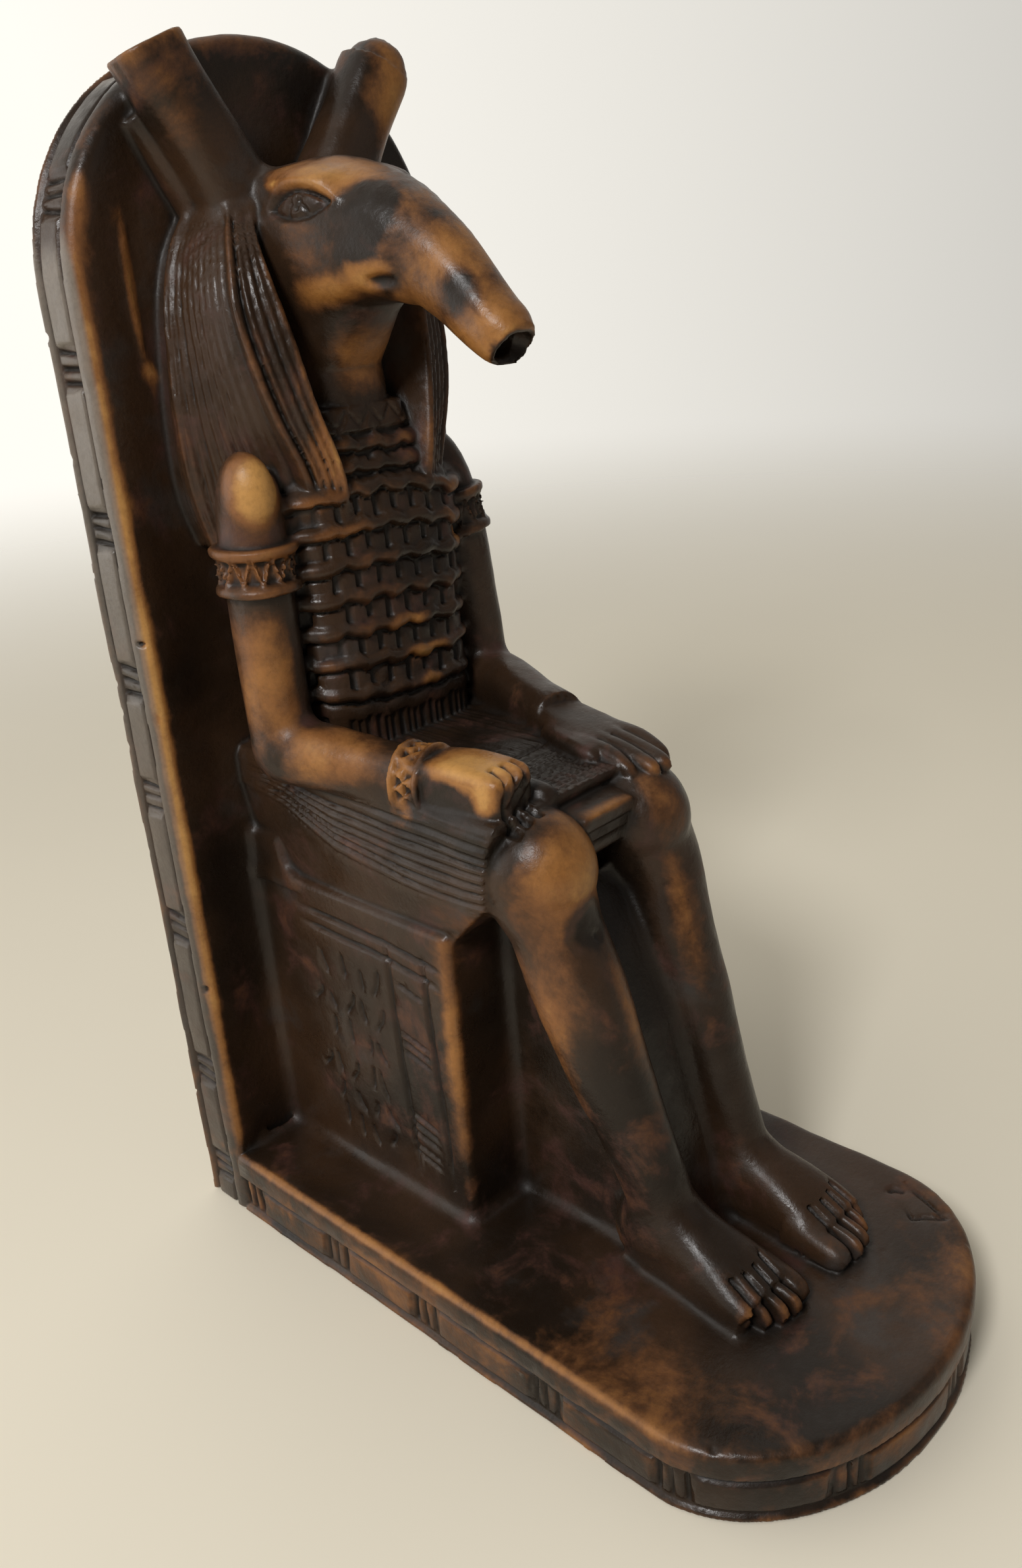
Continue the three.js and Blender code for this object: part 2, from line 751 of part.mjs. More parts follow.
// An eye: a ring cut round an almond in the side of the head.
function eyeCut(side) {
  const centre = place([side * 12, 23.6, 202.4]);
  const outward = new THREE.Vector3(side * 0.9, 0, 0.44);
  const forwards = new THREE.Vector3(0, -1, -0.08).normalize();
  const up = new THREE.Vector3().crossVectors(outward, forwards).multiplyScalar(-side);
  const almond = (halfLength, halfHeight, depth) => {
    const ring = (lift) =>
      Array.from({ length: 10 }, (_, k) => {
        const angle = (2 * Math.PI * k) / 10;
        return centre
          .clone()
          .addScaledVector(outward, scale * lift)
          .addScaledVector(forwards, scale * halfLength * Math.cos(angle))
          .addScaledVector(up, scale * halfHeight * Math.sin(angle) * (1 - 0.25 * Math.cos(angle) ** 2));
      });
    return solid(skin([ring(-depth), ring(3)]));
  };
  return almond(5.8, 3, 1.6).subtract(almond(4.6, 2.1, 2));
}

function makeStatue() {
  const sides = [-1, 1];
  const head = join([makeHead(), ...sides.map(makeEar)]).subtract(join(sides.map(eyeCut)));
  const stone = join([
    makePlinth(),
    makeSlab(),
    makeCove(),
    makeThrone(),
    makeWeb(),
    makeBody(),
    makeNeck(),
    makeKilt(),
    ...sides.map(makeWig),
    head,
    ...sides.map(makeArm),
    makeBand([21.6, 45, 99.4], [20, 51, 99], 6.6, -1),
    makeFist(),
    makeFlatHand(),
    ...sides.map(makeLeg),
  ]);
  const cuts = [
    ...plinthStrokes(),
    ...slabStrokes(),
    ...throneCuts(),
  ];
  // The outer shell alone, so that pockets closed in where the forms overlap are solid stone
  const shells = stone.subtract(join(cuts)).simplify(sliver).decompose();
  return shells.sort((a, b) => b.volume() - a.volume())[0];
}

const statue = new THREE.Mesh(
  geometryOf(makeStatue()),
  new THREE.MeshStandardMaterial({ color: 0x4a2c1c, roughness: 0.45, metalness: 0 }),
);
statue.name = "statue";

const part = new THREE.Group();
part.add(statue);

export default part;
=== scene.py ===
"""A carved Egyptian god with the head of a long-snouted animal, seated on a throne in front of a back slab.

The statue is one block. It is carved as a grid of distances to the surface, in millimetres, and the
surface is then drawn out as one closed mesh.
"""

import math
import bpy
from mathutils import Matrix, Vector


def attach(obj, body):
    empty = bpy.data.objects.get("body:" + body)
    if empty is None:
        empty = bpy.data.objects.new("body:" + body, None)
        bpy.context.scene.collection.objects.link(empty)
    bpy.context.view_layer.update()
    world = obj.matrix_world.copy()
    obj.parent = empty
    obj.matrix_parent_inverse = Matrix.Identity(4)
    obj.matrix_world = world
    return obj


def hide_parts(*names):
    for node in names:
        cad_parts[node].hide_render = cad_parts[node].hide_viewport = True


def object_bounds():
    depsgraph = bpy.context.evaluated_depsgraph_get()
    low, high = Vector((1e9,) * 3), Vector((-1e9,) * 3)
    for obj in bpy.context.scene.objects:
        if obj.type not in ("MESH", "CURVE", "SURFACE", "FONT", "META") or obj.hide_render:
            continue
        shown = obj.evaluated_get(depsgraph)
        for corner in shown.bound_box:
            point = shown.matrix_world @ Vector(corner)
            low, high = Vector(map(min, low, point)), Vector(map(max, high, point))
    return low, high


bl_info = {
    "name": "Seated God Statue",
    "version": (1, 1, 0),
    "blender": (4, 5, 0),
    "location": "View3D > Sidebar > Statue",
    "description": "Carves the seated god with its throne, slab and plinth, and sets up its stage",
    "category": "Add Mesh",
}

from itertools import combinations, product

import bpy
import numpy as np
from bpy.props import FloatProperty, FloatVectorProperty, IntProperty, PointerProperty
from mathutils import Matrix, Vector

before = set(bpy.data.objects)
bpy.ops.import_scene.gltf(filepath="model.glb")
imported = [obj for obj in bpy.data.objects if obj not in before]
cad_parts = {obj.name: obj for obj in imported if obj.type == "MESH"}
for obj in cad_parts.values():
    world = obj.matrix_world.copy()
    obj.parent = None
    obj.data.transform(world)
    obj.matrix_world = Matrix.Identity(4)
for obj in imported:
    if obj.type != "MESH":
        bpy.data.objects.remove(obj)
CAD_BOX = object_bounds()
MM = 0.001

# The figure is laid out across, forward from the slab's face and up from the plinth's top, in millimetres
SLAB_FACE = 70.0
PLINTH_TOP = 16.0
FAR = 40.0
EDGE = 3.0
# The eight corners of a cell of the grid
CORNERS = tuple(product((0, 1), repeat=3))


# Distances
def blend(a, b, radius):
    """The union of two solids, with a hollow fillet of the given radius in the corner."""
    radius = np.maximum(radius, 1e-3)
    corner = np.hypot(np.maximum(radius - a, 0), np.maximum(radius - b, 0))
    return np.maximum(np.minimum(a, b), radius) - corner


def meet(a, b, radius):
    """What two solids share, with the edge rounded to the given radius."""
    return -blend(-a, -b, radius)


def smooth(low, high, value):
    """From 0 at the first value to 1 at the second one, with soft ends."""
    t = np.clip((value - low) / (high - low), 0, 1)
    return t * t * (3 - 2 * t)


def vee(offset, half_width, depth):
    """The depth of a V-shaped cut at an offset from its line."""
    return depth * np.clip(1 - np.abs(offset) / half_width, 0, 1)


def tongue(across, beyond, half, rise):
    """Distance in a plane from a strip that ends in half an oval, `beyond` counting from its spring."""
    u = across / half
    v = np.maximum(beyond, 0) / rise
    k = np.sqrt(u * u + v * v)
    slope = np.sqrt((u / half) ** 2 + (v / rise) ** 2) / np.maximum(k, 0.05)
    return (k - 1) / np.maximum(slope, 1 / (2 * half))


def tongue_run(across, beyond, half, rise, straight):
    """How far round a tongue's outline a place is, starting at the foot of its negative side."""
    turn = np.linspace(0, math.pi, 181)
    steps = np.hypot(np.diff(half * np.cos(turn)), np.diff(rise * np.sin(turn)))
    lengths = np.concatenate([[0], np.cumsum(steps)])
    angle = np.arctan2(np.maximum(beyond, 0) / rise, -across / half)
    before = np.where(across < 0, straight + np.minimum(beyond, 0), straight - np.minimum(beyond, 0))
    return (before + np.interp(angle, turn, lengths)).astype(np.float32)


def egg(centre, radii, reach):
    """An egg shape, in a window that reaches the given distance from its centre."""

    def distance(x, y, z):
        p, q, r = ((v - c) / size for v, c, size in zip((x, y, z), centre, radii))
        k = np.sqrt(p * p + q * q + r * r)
        slope = np.sqrt((p / radii[0]) ** 2 + (q / radii[1]) ** 2 + (r / radii[2]) ** 2)
        return k * (k - 1) / np.maximum(slope, 0.001)

    return distance, centre - reach, centre + reach


def place(x, f, u):
    """A point from how far it is across, forward from the slab's face and up from the plinth's top."""
    return np.array((x, SLAB_FACE - f, PLINTH_TOP + u), dtype=float)


def smooth_line(points, samples):
    """Points at even steps along a Catmull-Rom line through the given ones."""
    points = np.array(points, dtype=float)
    padded = np.vstack([2 * points[0] - points[1], points, 2 * points[-1] - points[-2]])
    out = []
    for t in np.linspace(0, len(points) - 1, samples):
        i = min(int(t), len(points) - 2)
        s = t - i
        a, b, c, d = padded[i : i + 4]
        bend, twist = 2 * a - 5 * b + 4 * c - d, 3 * b - a - 3 * c + d
        out.append(0.5 * (2 * b + (c - a) * s + bend * s**2 + twist * s**3))
    return np.array(out)


def line_gap(points, p, q):
    """Distance in a plane from a broken line, and how far along it, from 0 to 1, the nearest place is."""
    gap, along = None, None
    count = len(points) - 1
    for i in range(count):
        (a0, a1), (b0, b1) = points[i], points[i + 1]
        d0, d1 = b0 - a0, b1 - a1
        t = np.clip(((p - a0) * d0 + (q - a1) * d1) / (d0 * d0 + d1 * d1 + 1e-9), 0, 1)
        here = np.hypot(p - a0 - t * d0, q - a1 - t * d1)
        if gap is None:
            gap, along = here, (i + t) / count
        else:
            along = np.where(here < gap, (i + t) / count, along)
            gap = np.minimum(gap, here)
    return gap, along


def limb(stations, power=2.2, side=1, samples=22):
    """An oval body along a smooth line through stations (x, f, u, half width, half depth)."""
    centres = smooth_line([place(side * s[0], s[1], s[2]) for s in stations], samples)
    sizes = smooth_line([(s[3], s[4]) for s in stations], samples)
    along = np.gradient(centres, axis=0)
    along /= np.linalg.norm(along, axis=1)[:, None]
    across = np.array((1.0, 0, 0)) - along * along[:, :1]
    across /= np.linalg.norm(across, axis=1)[:, None]
    outward = np.cross(along, across)
    reach = sizes.max(axis=1)[:, None] + EDGE
    low, high = (centres - reach).min(axis=0), (centres + reach).max(axis=0)

    def distance(x, y, z):
        shape = np.broadcast(x, y, z).shape
        best = np.full(shape, 1e9, dtype=np.float32)
        at = np.zeros(shape, dtype=np.float32)
        for i in range(samples - 1):
            a, d = centres[i], centres[i + 1] - centres[i]
            t = ((x - a[0]) * d[0] + (y - a[1]) * d[1] + (z - a[2]) * d[2]) / (d @ d)
            t = np.clip(t, 0, 1).astype(np.float32)
            gap = sum((p - a[k] - t * d[k]) ** 2 for k, p in enumerate((x, y, z)))
            closer = gap < best
            best = np.where(closer, gap, best)
            at = np.where(closer, i + t, at)
        steps = np.arange(samples)
        value = lambda table, k: np.interp(at, steps, table[:, k]).astype(np.float32)
        off = [p - value(centres, k) for k, p in enumerate((x, y, z))]
        wide, deep = value(sizes, 0), value(sizes, 1)
        a = np.abs(sum(off[k] * value(across, k) for k in range(3))) / wide
        b = np.abs(sum(off[k] * value(outward, k) for k in range(3))) / deep
        k = np.maximum((a**power + b**power) ** (1 / power), 0.05)
        slope = np.hypot(a ** (power - 1) / wide, b ** (power - 1) / deep) / k ** (power - 1)
        skin = (k - 1) / np.maximum(slope, 1e-3)
        beyond = np.abs(sum(off[k] * value(along, k) for k in range(3)))
        past_end = (beyond > 0.3) & ((at < 0.001) | (at > samples - 1.001))
        return np.where(past_end, np.hypot(np.maximum(skin, 0), beyond), skin)

    return distance, low, high


def level_sections(rows, points_of, rounding):
    """A body whose level sections are polygons, from rows that start with the height u."""
    heights = [PLINTH_TOP + row[0] for row in rows]
    outlines = np.array([points_of(row) for row in rows])
    low = (outlines[..., 0].min() - EDGE, outlines[..., 1].min() - EDGE, heights[0] - EDGE)
    high = (outlines[..., 0].max() + EDGE, outlines[..., 1].max() + EDGE, heights[-1] + EDGE)

    def distance(x, y, z):
        out = np.empty(np.broadcast(x, y, z).shape, dtype=np.float32)
        px, py = np.broadcast_arrays(x[..., 0], y[..., 0])
        for k, level in enumerate(z.ravel()):
            t = np.clip(np.interp(level, heights, range(len(heights))), 0, len(heights) - 1.001)
            i = int(t)
            polygon = outlines[i] + (t - i) * (outlines[i + 1] - outlines[i])
            gap = np.full(px.shape, 1e9)
            inside = np.zeros(px.shape, dtype=bool)
            for (ax, ay), (bx, by) in zip(polygon, np.roll(polygon, -1, axis=0)):
                dx, dy = bx - ax, by - ay
                s = np.clip(((px - ax) * dx + (py - ay) * dy) / (dx * dx + dy * dy + 1e-9), 0, 1)
                gap = np.minimum(gap, (px - ax - s * dx) ** 2 + (py - ay - s * dy) ** 2)
                crosses = (ay > py) != (by > py)
                inside ^= crosses & (px < ax + (py - ay) * dx / (dy if dy else 1e-9))
            out[..., k] = np.where(inside, -1, 1) * np.sqrt(gap)
        ends = np.maximum(heights[0] - z, z - heights[-1])
        return meet(out, np.broadcast_to(ends, out.shape).astype(np.float32), rounding)

    return distance, low, high


class Block:
    """A grid of distances from the carved surface, in millimetres. Stone is negative."""

    def __init__(self, low, high, step):
        self.step = step
        self.axes = [np.arange(l, h + step, step, dtype=np.float32) for l, h in zip(low, high)]
        self.field = np.full([len(axis) for axis in self.axes], FAR, dtype=np.float32)

    def window(self, low, high):
        """The part of the grid between two corners, and where its cells are."""
        spans = [
            slice(int(np.searchsorted(axis, l)), int(np.searchsorted(axis, h)))
            for axis, l, h in zip(self.axes, low, high)
        ]
        x, y, z = (axis[span] for axis, span in zip(self.axes, spans))
        return tuple(spans), x[:, None, None], y[None, :, None], z[None, None, :]

    def join(self, shape, fillet=0.0):
        """Adds a shape. Its fillet is a radius, or a radius that changes from place to place."""
        distance, low, high = shape
        spans, x, y, z = self.window(low, high)
        fillet = fillet(x, y, z) if callable(fillet) else fillet
        self.field[spans] = blend(self.field[spans], distance(x, y, z).astype(np.float32), fillet)

    def cut(self, shape, rounding):
        """Takes a shape away, with its rim rounded."""
        distance, low, high = shape
        spans, x, y, z = self.window(low, high)
        self.field[spans] = meet(self.field[spans], -distance(x, y, z).astype(np.float32), rounding)

    def sink(self, depth, low, high):
        """Moves the surface in by the depth found at each place, or out where it is negative."""
        spans, x, y, z = self.window(low, high)
        self.field[spans] += depth(x, y, z).astype(np.float32)

    def engrave(self, axis, line, half_width, depth, low, high, taper=True):
        """Cuts a line that is drawn on the plane across an axis into the surface in the window."""

        def cut(x, y, z):
            p, q = [v for k, v in enumerate((x, y, z)) if k != axis]
            gap, along = line_gap(line, p, q)
            ends = np.clip(6 * np.minimum(along, 1 - along) + 0.25, 0, 1) if taper else 1.0
            return vee(gap, half_width, depth) * ends

        grow = half_width + self.step
        low, high = list(low), list(high)
        for k, column in zip([k for k in range(3) if k != axis], np.array(line).T):
            low[k], high[k] = column.min() - grow, column.max() + grow
        self.sink(cut, low, high)


# The form
def border_depth(run, rise, groups, draw):
    """The border's relief: two grooves along it, and groups of three cuts in a shallow recess."""
    foot, groove, band = 1.4, 0.9, 6.6
    low, high = foot + groove, foot + groove + band
    middle = (low + high) / 2
    depth = np.maximum(vee(rise - (low - groove / 2), 1.0, 1.5), vee(rise - (high + groove / 2), 1.1, 1.7))
    depth = depth + 0 * run
    inside = smooth(low - 0.3, low + 0.3, rise) * (1 - smooth(high - 0.3, high + 0.3, rise))
    panel = 0.35 * inside
    for group in groups:
        recess = 0.9 * (1 - smooth(4.1, 4.9, np.abs(run - group - 0.1 * (rise - middle))))
        panel = np.maximum(panel, inside * recess)
        for k in (-1, 0, 1):
            slant, shift = draw.uniform(-0.08, 0.08), draw.uniform(-0.25, 0.25)
            size = draw.uniform(0.85, 1.15)
            line = run - (group + 2.8 * k + shift + slant * (rise - middle))
            depth = np.maximum(depth, inside * vee(line, 1.15 * size, 2.1 * size))
    return np.maximum(depth, panel)


# A scratched outline beside the left foot, and a short scratch at its end, in plan
SCRATCH = [(40.6, -54.8), (38.6, -60.4), (35.7, -66.6), (33.8, -62.8), (32.1, -61.1), (34.2, -58.1)]
SHORT_SCRATCH = [(36.6, -53.0), (38.0, -53.7), (38.6, -56.2)]


def carve_plinth(block, sizes, draw):
    half, nose, top = sizes.half_width, sizes.nose_depth, PLINTH_TOP
    spring = sizes.front + nose
    groups = [4.2, 34.6, 62.9, 96.6, 126.3, 159.1, 191.8, 224, 256, 288.5, 320, 352]

    def distance(x, y, z):
        plan = tongue(x, spring - y, half, nose)
        run = tongue_run(x, spring - y, half, nose, SLAB_FACE + 1 - spring)
        sunk = 0.5 * smooth(2.5, 9, -plan)
        body = meet(plan + border_depth(run, z, groups, draw), z - top + sunk, 2.0)
        body = meet(body, -z, 0.7)
        return np.maximum(body, y - SLAB_FACE - 1)

    block.join((distance, (-half - EDGE, sizes.front - EDGE, -2), (half + EDGE, SLAB_FACE + 1, top + 9)))
    low, high = (0, 0, top - 3), (0, 0, top + 2)
    block.engrave(2, SCRATCH, 0.8, 0.8, low, high)
    block.engrave(2, SHORT_SCRATCH, 1.2, 0.8, low, high)


def carve_slab(block, sizes, draw):
    half, rise, back, top = sizes.half_width, sizes.arch_rise, sizes.back, sizes.height
    spring = top - rise
    groups = [9.5, 36.6, 74.6, 106.2, 131.9, 163.4, 193.8, 224.4, 255]
    groups += [285.5 + 30.5 * k for k in range(9)] + [549]

    def distance(x, y, z):
        outline = tongue(x, z - spring, half, rise)
        run = tongue_run(x, z - spring, half, rise, spring)
        dish = 1.7 * smooth(2.4, 15, -outline)
        edge = outline + border_depth(run, back - y, groups, draw)
        body = meet(edge, SLAB_FACE + dish - y, 2.6)
        body = meet(body, y - back, 0.8)
        return meet(body, -z, 0.5)

    low, high = (-half - EDGE, SLAB_FACE - 9, -2), (half + EDGE, back + EDGE, top + EDGE)
    block.join((distance, low, high), lambda x, y, z: 4.2 * (1 - smooth(half - 9, half - 2.5, np.abs(x))))
    # A worn streak on the left of the panel
    streak = [(-32, 218.4), (-33.2, 212), (-32.9, 204), (-32.2, 194), (-29.8, 189.9)]
    block.engrave(1, streak, 1.3, -0.35, (0, SLAB_FACE - 3, 0), (0, SLAB_FACE + 6, 0))


def carve_throne(block, sizes, draw):
    half, front, top = sizes.throne_half, sizes.throne_front, PLINTH_TOP + sizes.throne_height

    def seat(x, y, z):
        body = meet(np.abs(x) - half, front - y + 0 * x, 2.2)
        body = meet(body + 0 * z, z - top + 0 * body, 1.6)
        return np.maximum(np.maximum(body, y - SLAB_FACE - 2), PLINTH_TOP - 2 - z)

    def step(x, y, z):
        edge = np.interp(z, [top - 0.5, top + 1.4, top + 4, top + 8.2], [57, 60.2, 61.6, 62.3])
        body = meet(edge - y, z - top - 8.5 + 0 * y, 1.8)
        return np.maximum(meet(body + 0 * x, np.abs(x) - half + 0 * body, 1.6), top - 2 - z)

    block.join((seat, (-half - 6, front - 6, PLINTH_TOP - 3), (half + 6, SLAB_FACE + 2, top + 4)), 3.4)
    block.join((step, (-half - 6, 54, top - 3), (half + 6, SLAB_FACE + 2, top + 12)), 2.4)

    # The web of stone between the calves and the throne
    outline = [(101, -3), (95.5, 20), (89, 46), (82, 64), (75, 76)]

    def web(x, y, z):
        reach = np.interp(z - PLINTH_TOP, [u for _, u in outline], [f for f, _ in outline])
        body = meet(np.abs(x - 1.5) - 11.5 + 0 * y, SLAB_FACE - reach - y + 0 * x, 3.5)
        return np.maximum(np.maximum(body, y - front - 3), z - PLINTH_TOP - 77)

    block.join((web, (-16, -36, PLINTH_TOP - 3), (19, front + 3, PLINTH_TOP + 80)), 3.0)

    # A frame of lines on each side, with rows of shallow strokes in it
    for side in (-1, 1):
        low, high = [side * half - 2.2, 0, 0], [side * half + 2.2, 0, 0]
        lines = [
            [(13.0, 76.6), (30, 78.0), (58, 78.8)],
            [(14.0, 72.6), (31, 74.2), (57, 75.2)],
            [(18.6, 79), (17.2, 50), (15.6, 22)],
            [(29.6, 78), (28.4, 50), (26.6, 21)],
        ]
        for line in lines:
            block.engrave(0, line, 0.95, 1.15, low, high)
        for z, count in ((67.5, 1), (55.5, 3), (35, 3), (27.2, 2)):
            for k in range(count):
                rung = [(18.9, z - 2.3 * k), (27.6, z - 2.3 * k + 2.0)]
                block.engrave(0, rung, 0.75, 0.75, low, high)
        for z, count in ((66.5, 4), (58, 5), (49.5, 4), (41, 5), (32.5, 4), (25.5, 4)):
            for k in range(count):
                y = 34.5 + 5.2 * k + draw.uniform(-1.1, 1.1)
                lean, size = draw.uniform(-1.6, 1.6), draw.uniform(1.8, 3.6)
                middle = z + draw.uniform(-1.2, 1.2)
                stroke = [(y - lean, middle - size), (y + lean * 0.6, middle), (y + lean, middle + size)]
                block.engrave(0, stroke, 0.85, draw.uniform(0.8, 1.15), low, high)


# The trunk's height, half width and front
BODY_ROWS = [
    (66, 22, 28.2), (92, 21.2, 28.4), (106, 20.6, 28.2), (118, 20.6, 28.2), (140, 21.6, 28.4),
    (150, 22.4, 27.6), (153.5, 20, 26.2), (158, 13.8, 25.6), (163, 12.4, 24.8), (166, 12, 24.4),
    (170, 8, 20),
]


def carve_body(block, draw):
    heights = [row[0] for row in BODY_ROWS]
    low_rope, pitch, count = 108.9, 7.05, 7
    corner, sag_reach = 11, 26
    phases = draw.uniform(0, 6.3, (count + 2, 3))
    widths = draw.uniform(4.6, 5.7, count + 3)

    def rope_line(i, run):
        near = np.clip(run, -sag_reach, sag_reach)
        if i < count:
            middle = low_rope + pitch * i - 0.073 * near + (0.0026 - 0.0015 * i) * near * near
        else:
            middle = (155.0, 159.1)[i - count] - 0.05 * near
        return middle + 0.42 * np.sin(run * 0.83 + phases[i, 0]) + 0.15 * np.sin(run * 1.9 + phases[i, 1])

    def distance(x, y, z):
        f, u = SLAB_FACE - y, z - PLINTH_TOP
        half = np.interp(u, heights, [row[1] for row in BODY_ROWS])
        front = np.interp(u, heights, [row[2] for row in BODY_ROWS])
        a = np.abs(x) / half
        b = np.maximum(f - (front - corner), 0) / corner
        k = np.maximum((a**4 + b**4) ** 0.25, 0.05)
        slope = np.hypot(a**3 / half, b**3 / corner) / k**3
        skin = (k - 1) / np.maximum(slope, 0.02)
        # How far round the front a place is
        run = np.clip(x, 4 - half, half - 4) + np.sign(x) * np.maximum(front - 4 - f, 0)
        relief = 0 * (run + u)
        lines = [rope_line(i, run) for i in range(count + 2)]
        for i, line in enumerate(lines):
            thick = (1.6 if i < count else 1.35) + 0.28 * np.sin(run * 0.78 + phases[i, 2])
            band = np.sqrt(np.clip(1 - ((u - line) / thick) ** 2, 0, 1))
            proud = (2.1 if i < count else 1.7) + 0.3 * np.sin(run * 0.78 + phases[i, 2] + 0.6)
            relief = np.maximum(relief, band**0.8 * proud)
            # Plates stand on each band, and stop short of the one above
            above = lines[i + 1] if i < count + 1 else line + 3
            width = widths[i]
            tooth = np.abs(np.mod(run + 1.7 * i, width) - width / 2)
            plate = 0.95 * (1 - smooth(width / 2 - 0.95, width / 2 - 0.4, tooth))
            plate = plate * (1 - smooth(0.3, 0.8, u - above + 2.6))
            relief = np.maximum(relief, np.where((u > line) & (u < above), plate, 0))
        # The fringe under a narrow strap
        fringe_top = lines[0] - 3.4
        strap = 1.0 * smooth(0, 0.5, u - fringe_top + 2.2) * (1 - smooth(0.9, 1.4, u - fringe_top))
        strand = 0.5 + 0.5 * np.cos(run * 2 * math.pi / 2.1 + 1.1 * np.sin(run * 0.9) + 0.05 * (u - 100))
        relief = np.maximum(relief, np.where(u < fringe_top, np.maximum(strap, 0.85 * strand), strap))
        neckband = smooth(161.2, 161.8, u) * (1 - smooth(166, 166.6, u))
        relief = np.maximum(relief, 1.2 * neckband)
        body = skin + 1.2 - relief
        return np.maximum(np.maximum(body, u - 170), -f - 1)

    block.join((distance, (-28, 38, PLINTH_TOP + 90), (28, SLAB_FACE + 1, PLINTH_TOP + 172)), 0.3)
    neck = [
        (0, 10, 160, 9.5, 12.5), (0, 10.5, 168, 10.9, 13.8), (0, 10.4, 175, 10.8, 13.6),
        (0, 12.4, 183, 11.4, 16), (0, 15, 190, 11, 18),
    ]
    block.join(limb(neck, 2.4), 0.8)
    # A zigzag on the neckband
    zigzag = [(-11.2 + 2.8 * k, PLINTH_TOP + (162.2 if k % 2 else 165.7)) for k in range(9)]
    block.engrave(1, zigzag, 0.6, 0.7, (0, 40, 0), (0, 51, 0), taper=False)


# How far forward, and there the kilt's half width, lower edge and top
KILT_ROWS = [
    (-2, 26.2, 89, 97.6), (14, 27, 86.5, 98.2), (30, 27.2, 80.5, 98.2), (50, 26.8, 77.6, 97.8),
    (66, 26.4, 77.2, 97.2), (79, 26.2, 78.4, 97),
]


def carve_kilt(block, draw):
    columns = list(zip(*KILT_ROWS))
    pleats = 9
    sway = draw.uniform(-0.5, 0.5, (pleats + 1, 2))
    sizes = draw.uniform(0.45, 1.0, pleats + 1)

    def distance(x, y, z):
        f, u = SLAB_FACE - y, z - PLINTH_TOP
        half, low, high = (np.interp(f, columns[0], column) for column in columns[1:])
        at = (u - low) / (high - 1.5 - low) * pleats
        fold = 0 * (at + f)
        for i in range(pleats):
            line = i + 0.25 + 0.5 * sway[i, 0] + 0.12 * np.sin(f / 13.0 + 9 * sway[i, 1])
            fold = np.maximum(fold, 1.0 * sizes[i] * np.clip(1 - np.abs(at - line) / 0.34, 0, 1))
        fold = fold * smooth(-1, 12, f) * (1 - smooth(pleats - 0.8, pleats - 0.1, at))
        under = np.where(at < 0, 0.25 + 3.2 * np.clip((low - u) / np.maximum(low - 66, 1), 0, 1), 0)
        sides = np.abs(x) - half + fold + under
        wave = np.abs(x) * 1.02 - 0.07 * f + 0.35 * np.sin(f / 6) + 0.5 * np.sin(np.abs(x) * 0.9)
        fine = 0.34 * (0.5 + 0.5 * np.cos(wave * 2 * math.pi / 1.9))
        body = meet(sides, u - high + fine + 0 * sides, 3)
        floor = np.interp(f, (0, 57, 71), (65, 65, 78.5))
        hem = np.interp(u, (77, 84, 91, 98), (71.6, 71.8, 73.2, 76.5))
        return np.maximum(meet(body, f - hem + 0 * body, 0.5), np.maximum(floor - u, -f - 2))

    block.join((distance, (-31, -5, PLINTH_TOP + 64), (31, SLAB_FACE + 2, PLINTH_TOP + 102)), 0.9)
    apron = [
        (1, 44, 92.2, 9.2, 5.6), (1, 60, 91, 8.6, 5.3), (1, 77.5, 88.6, 7.9, 4.8),
        (1, 79.9, 88.2, 7.6, 4.4),
    ]
    block.join(limb(apron, 9), 0.5)
    top = PLINTH_TOP + 98
    for k in range(11):
        far = 13.0 - 1.55 * k + draw.uniform(-0.35, 0.35)
        line = [(-7.6, far), (0.5, far - 1.0), (9.4, far - 2.6)]
        block.engrave(2, line, 0.65, 0.55, (0, 0, top - 8), (0, 0, top + 3))
    block.engrave(2, [(-9.5, 15.5), (1, 14.4), (11, 14.8)], 0.8, 0.9, (0, 0, top - 5), (0, 0, top + 3))


# The wig's height, its half width at the slab, and the outer and the inner edge of its front face
WIG_ROWS = [
    (141, 27, 16, 22, 10.5, 25), (153, 30.2, 16.8, 25, 11.0, 28.6), (168, 30.1, 21.9, 23.6, 14.4, 27.0),
    (184, 28.4, 24.6, 20.8, 17.0, 24.2), (195, 25.4, 22.2, 17.4, 17.4, 20.2),
    (203, 19.8, 17.4, 12.4, 14.2, 14.2), (206.5, 14, 12, 9.4, 10.4, 10.6),
]


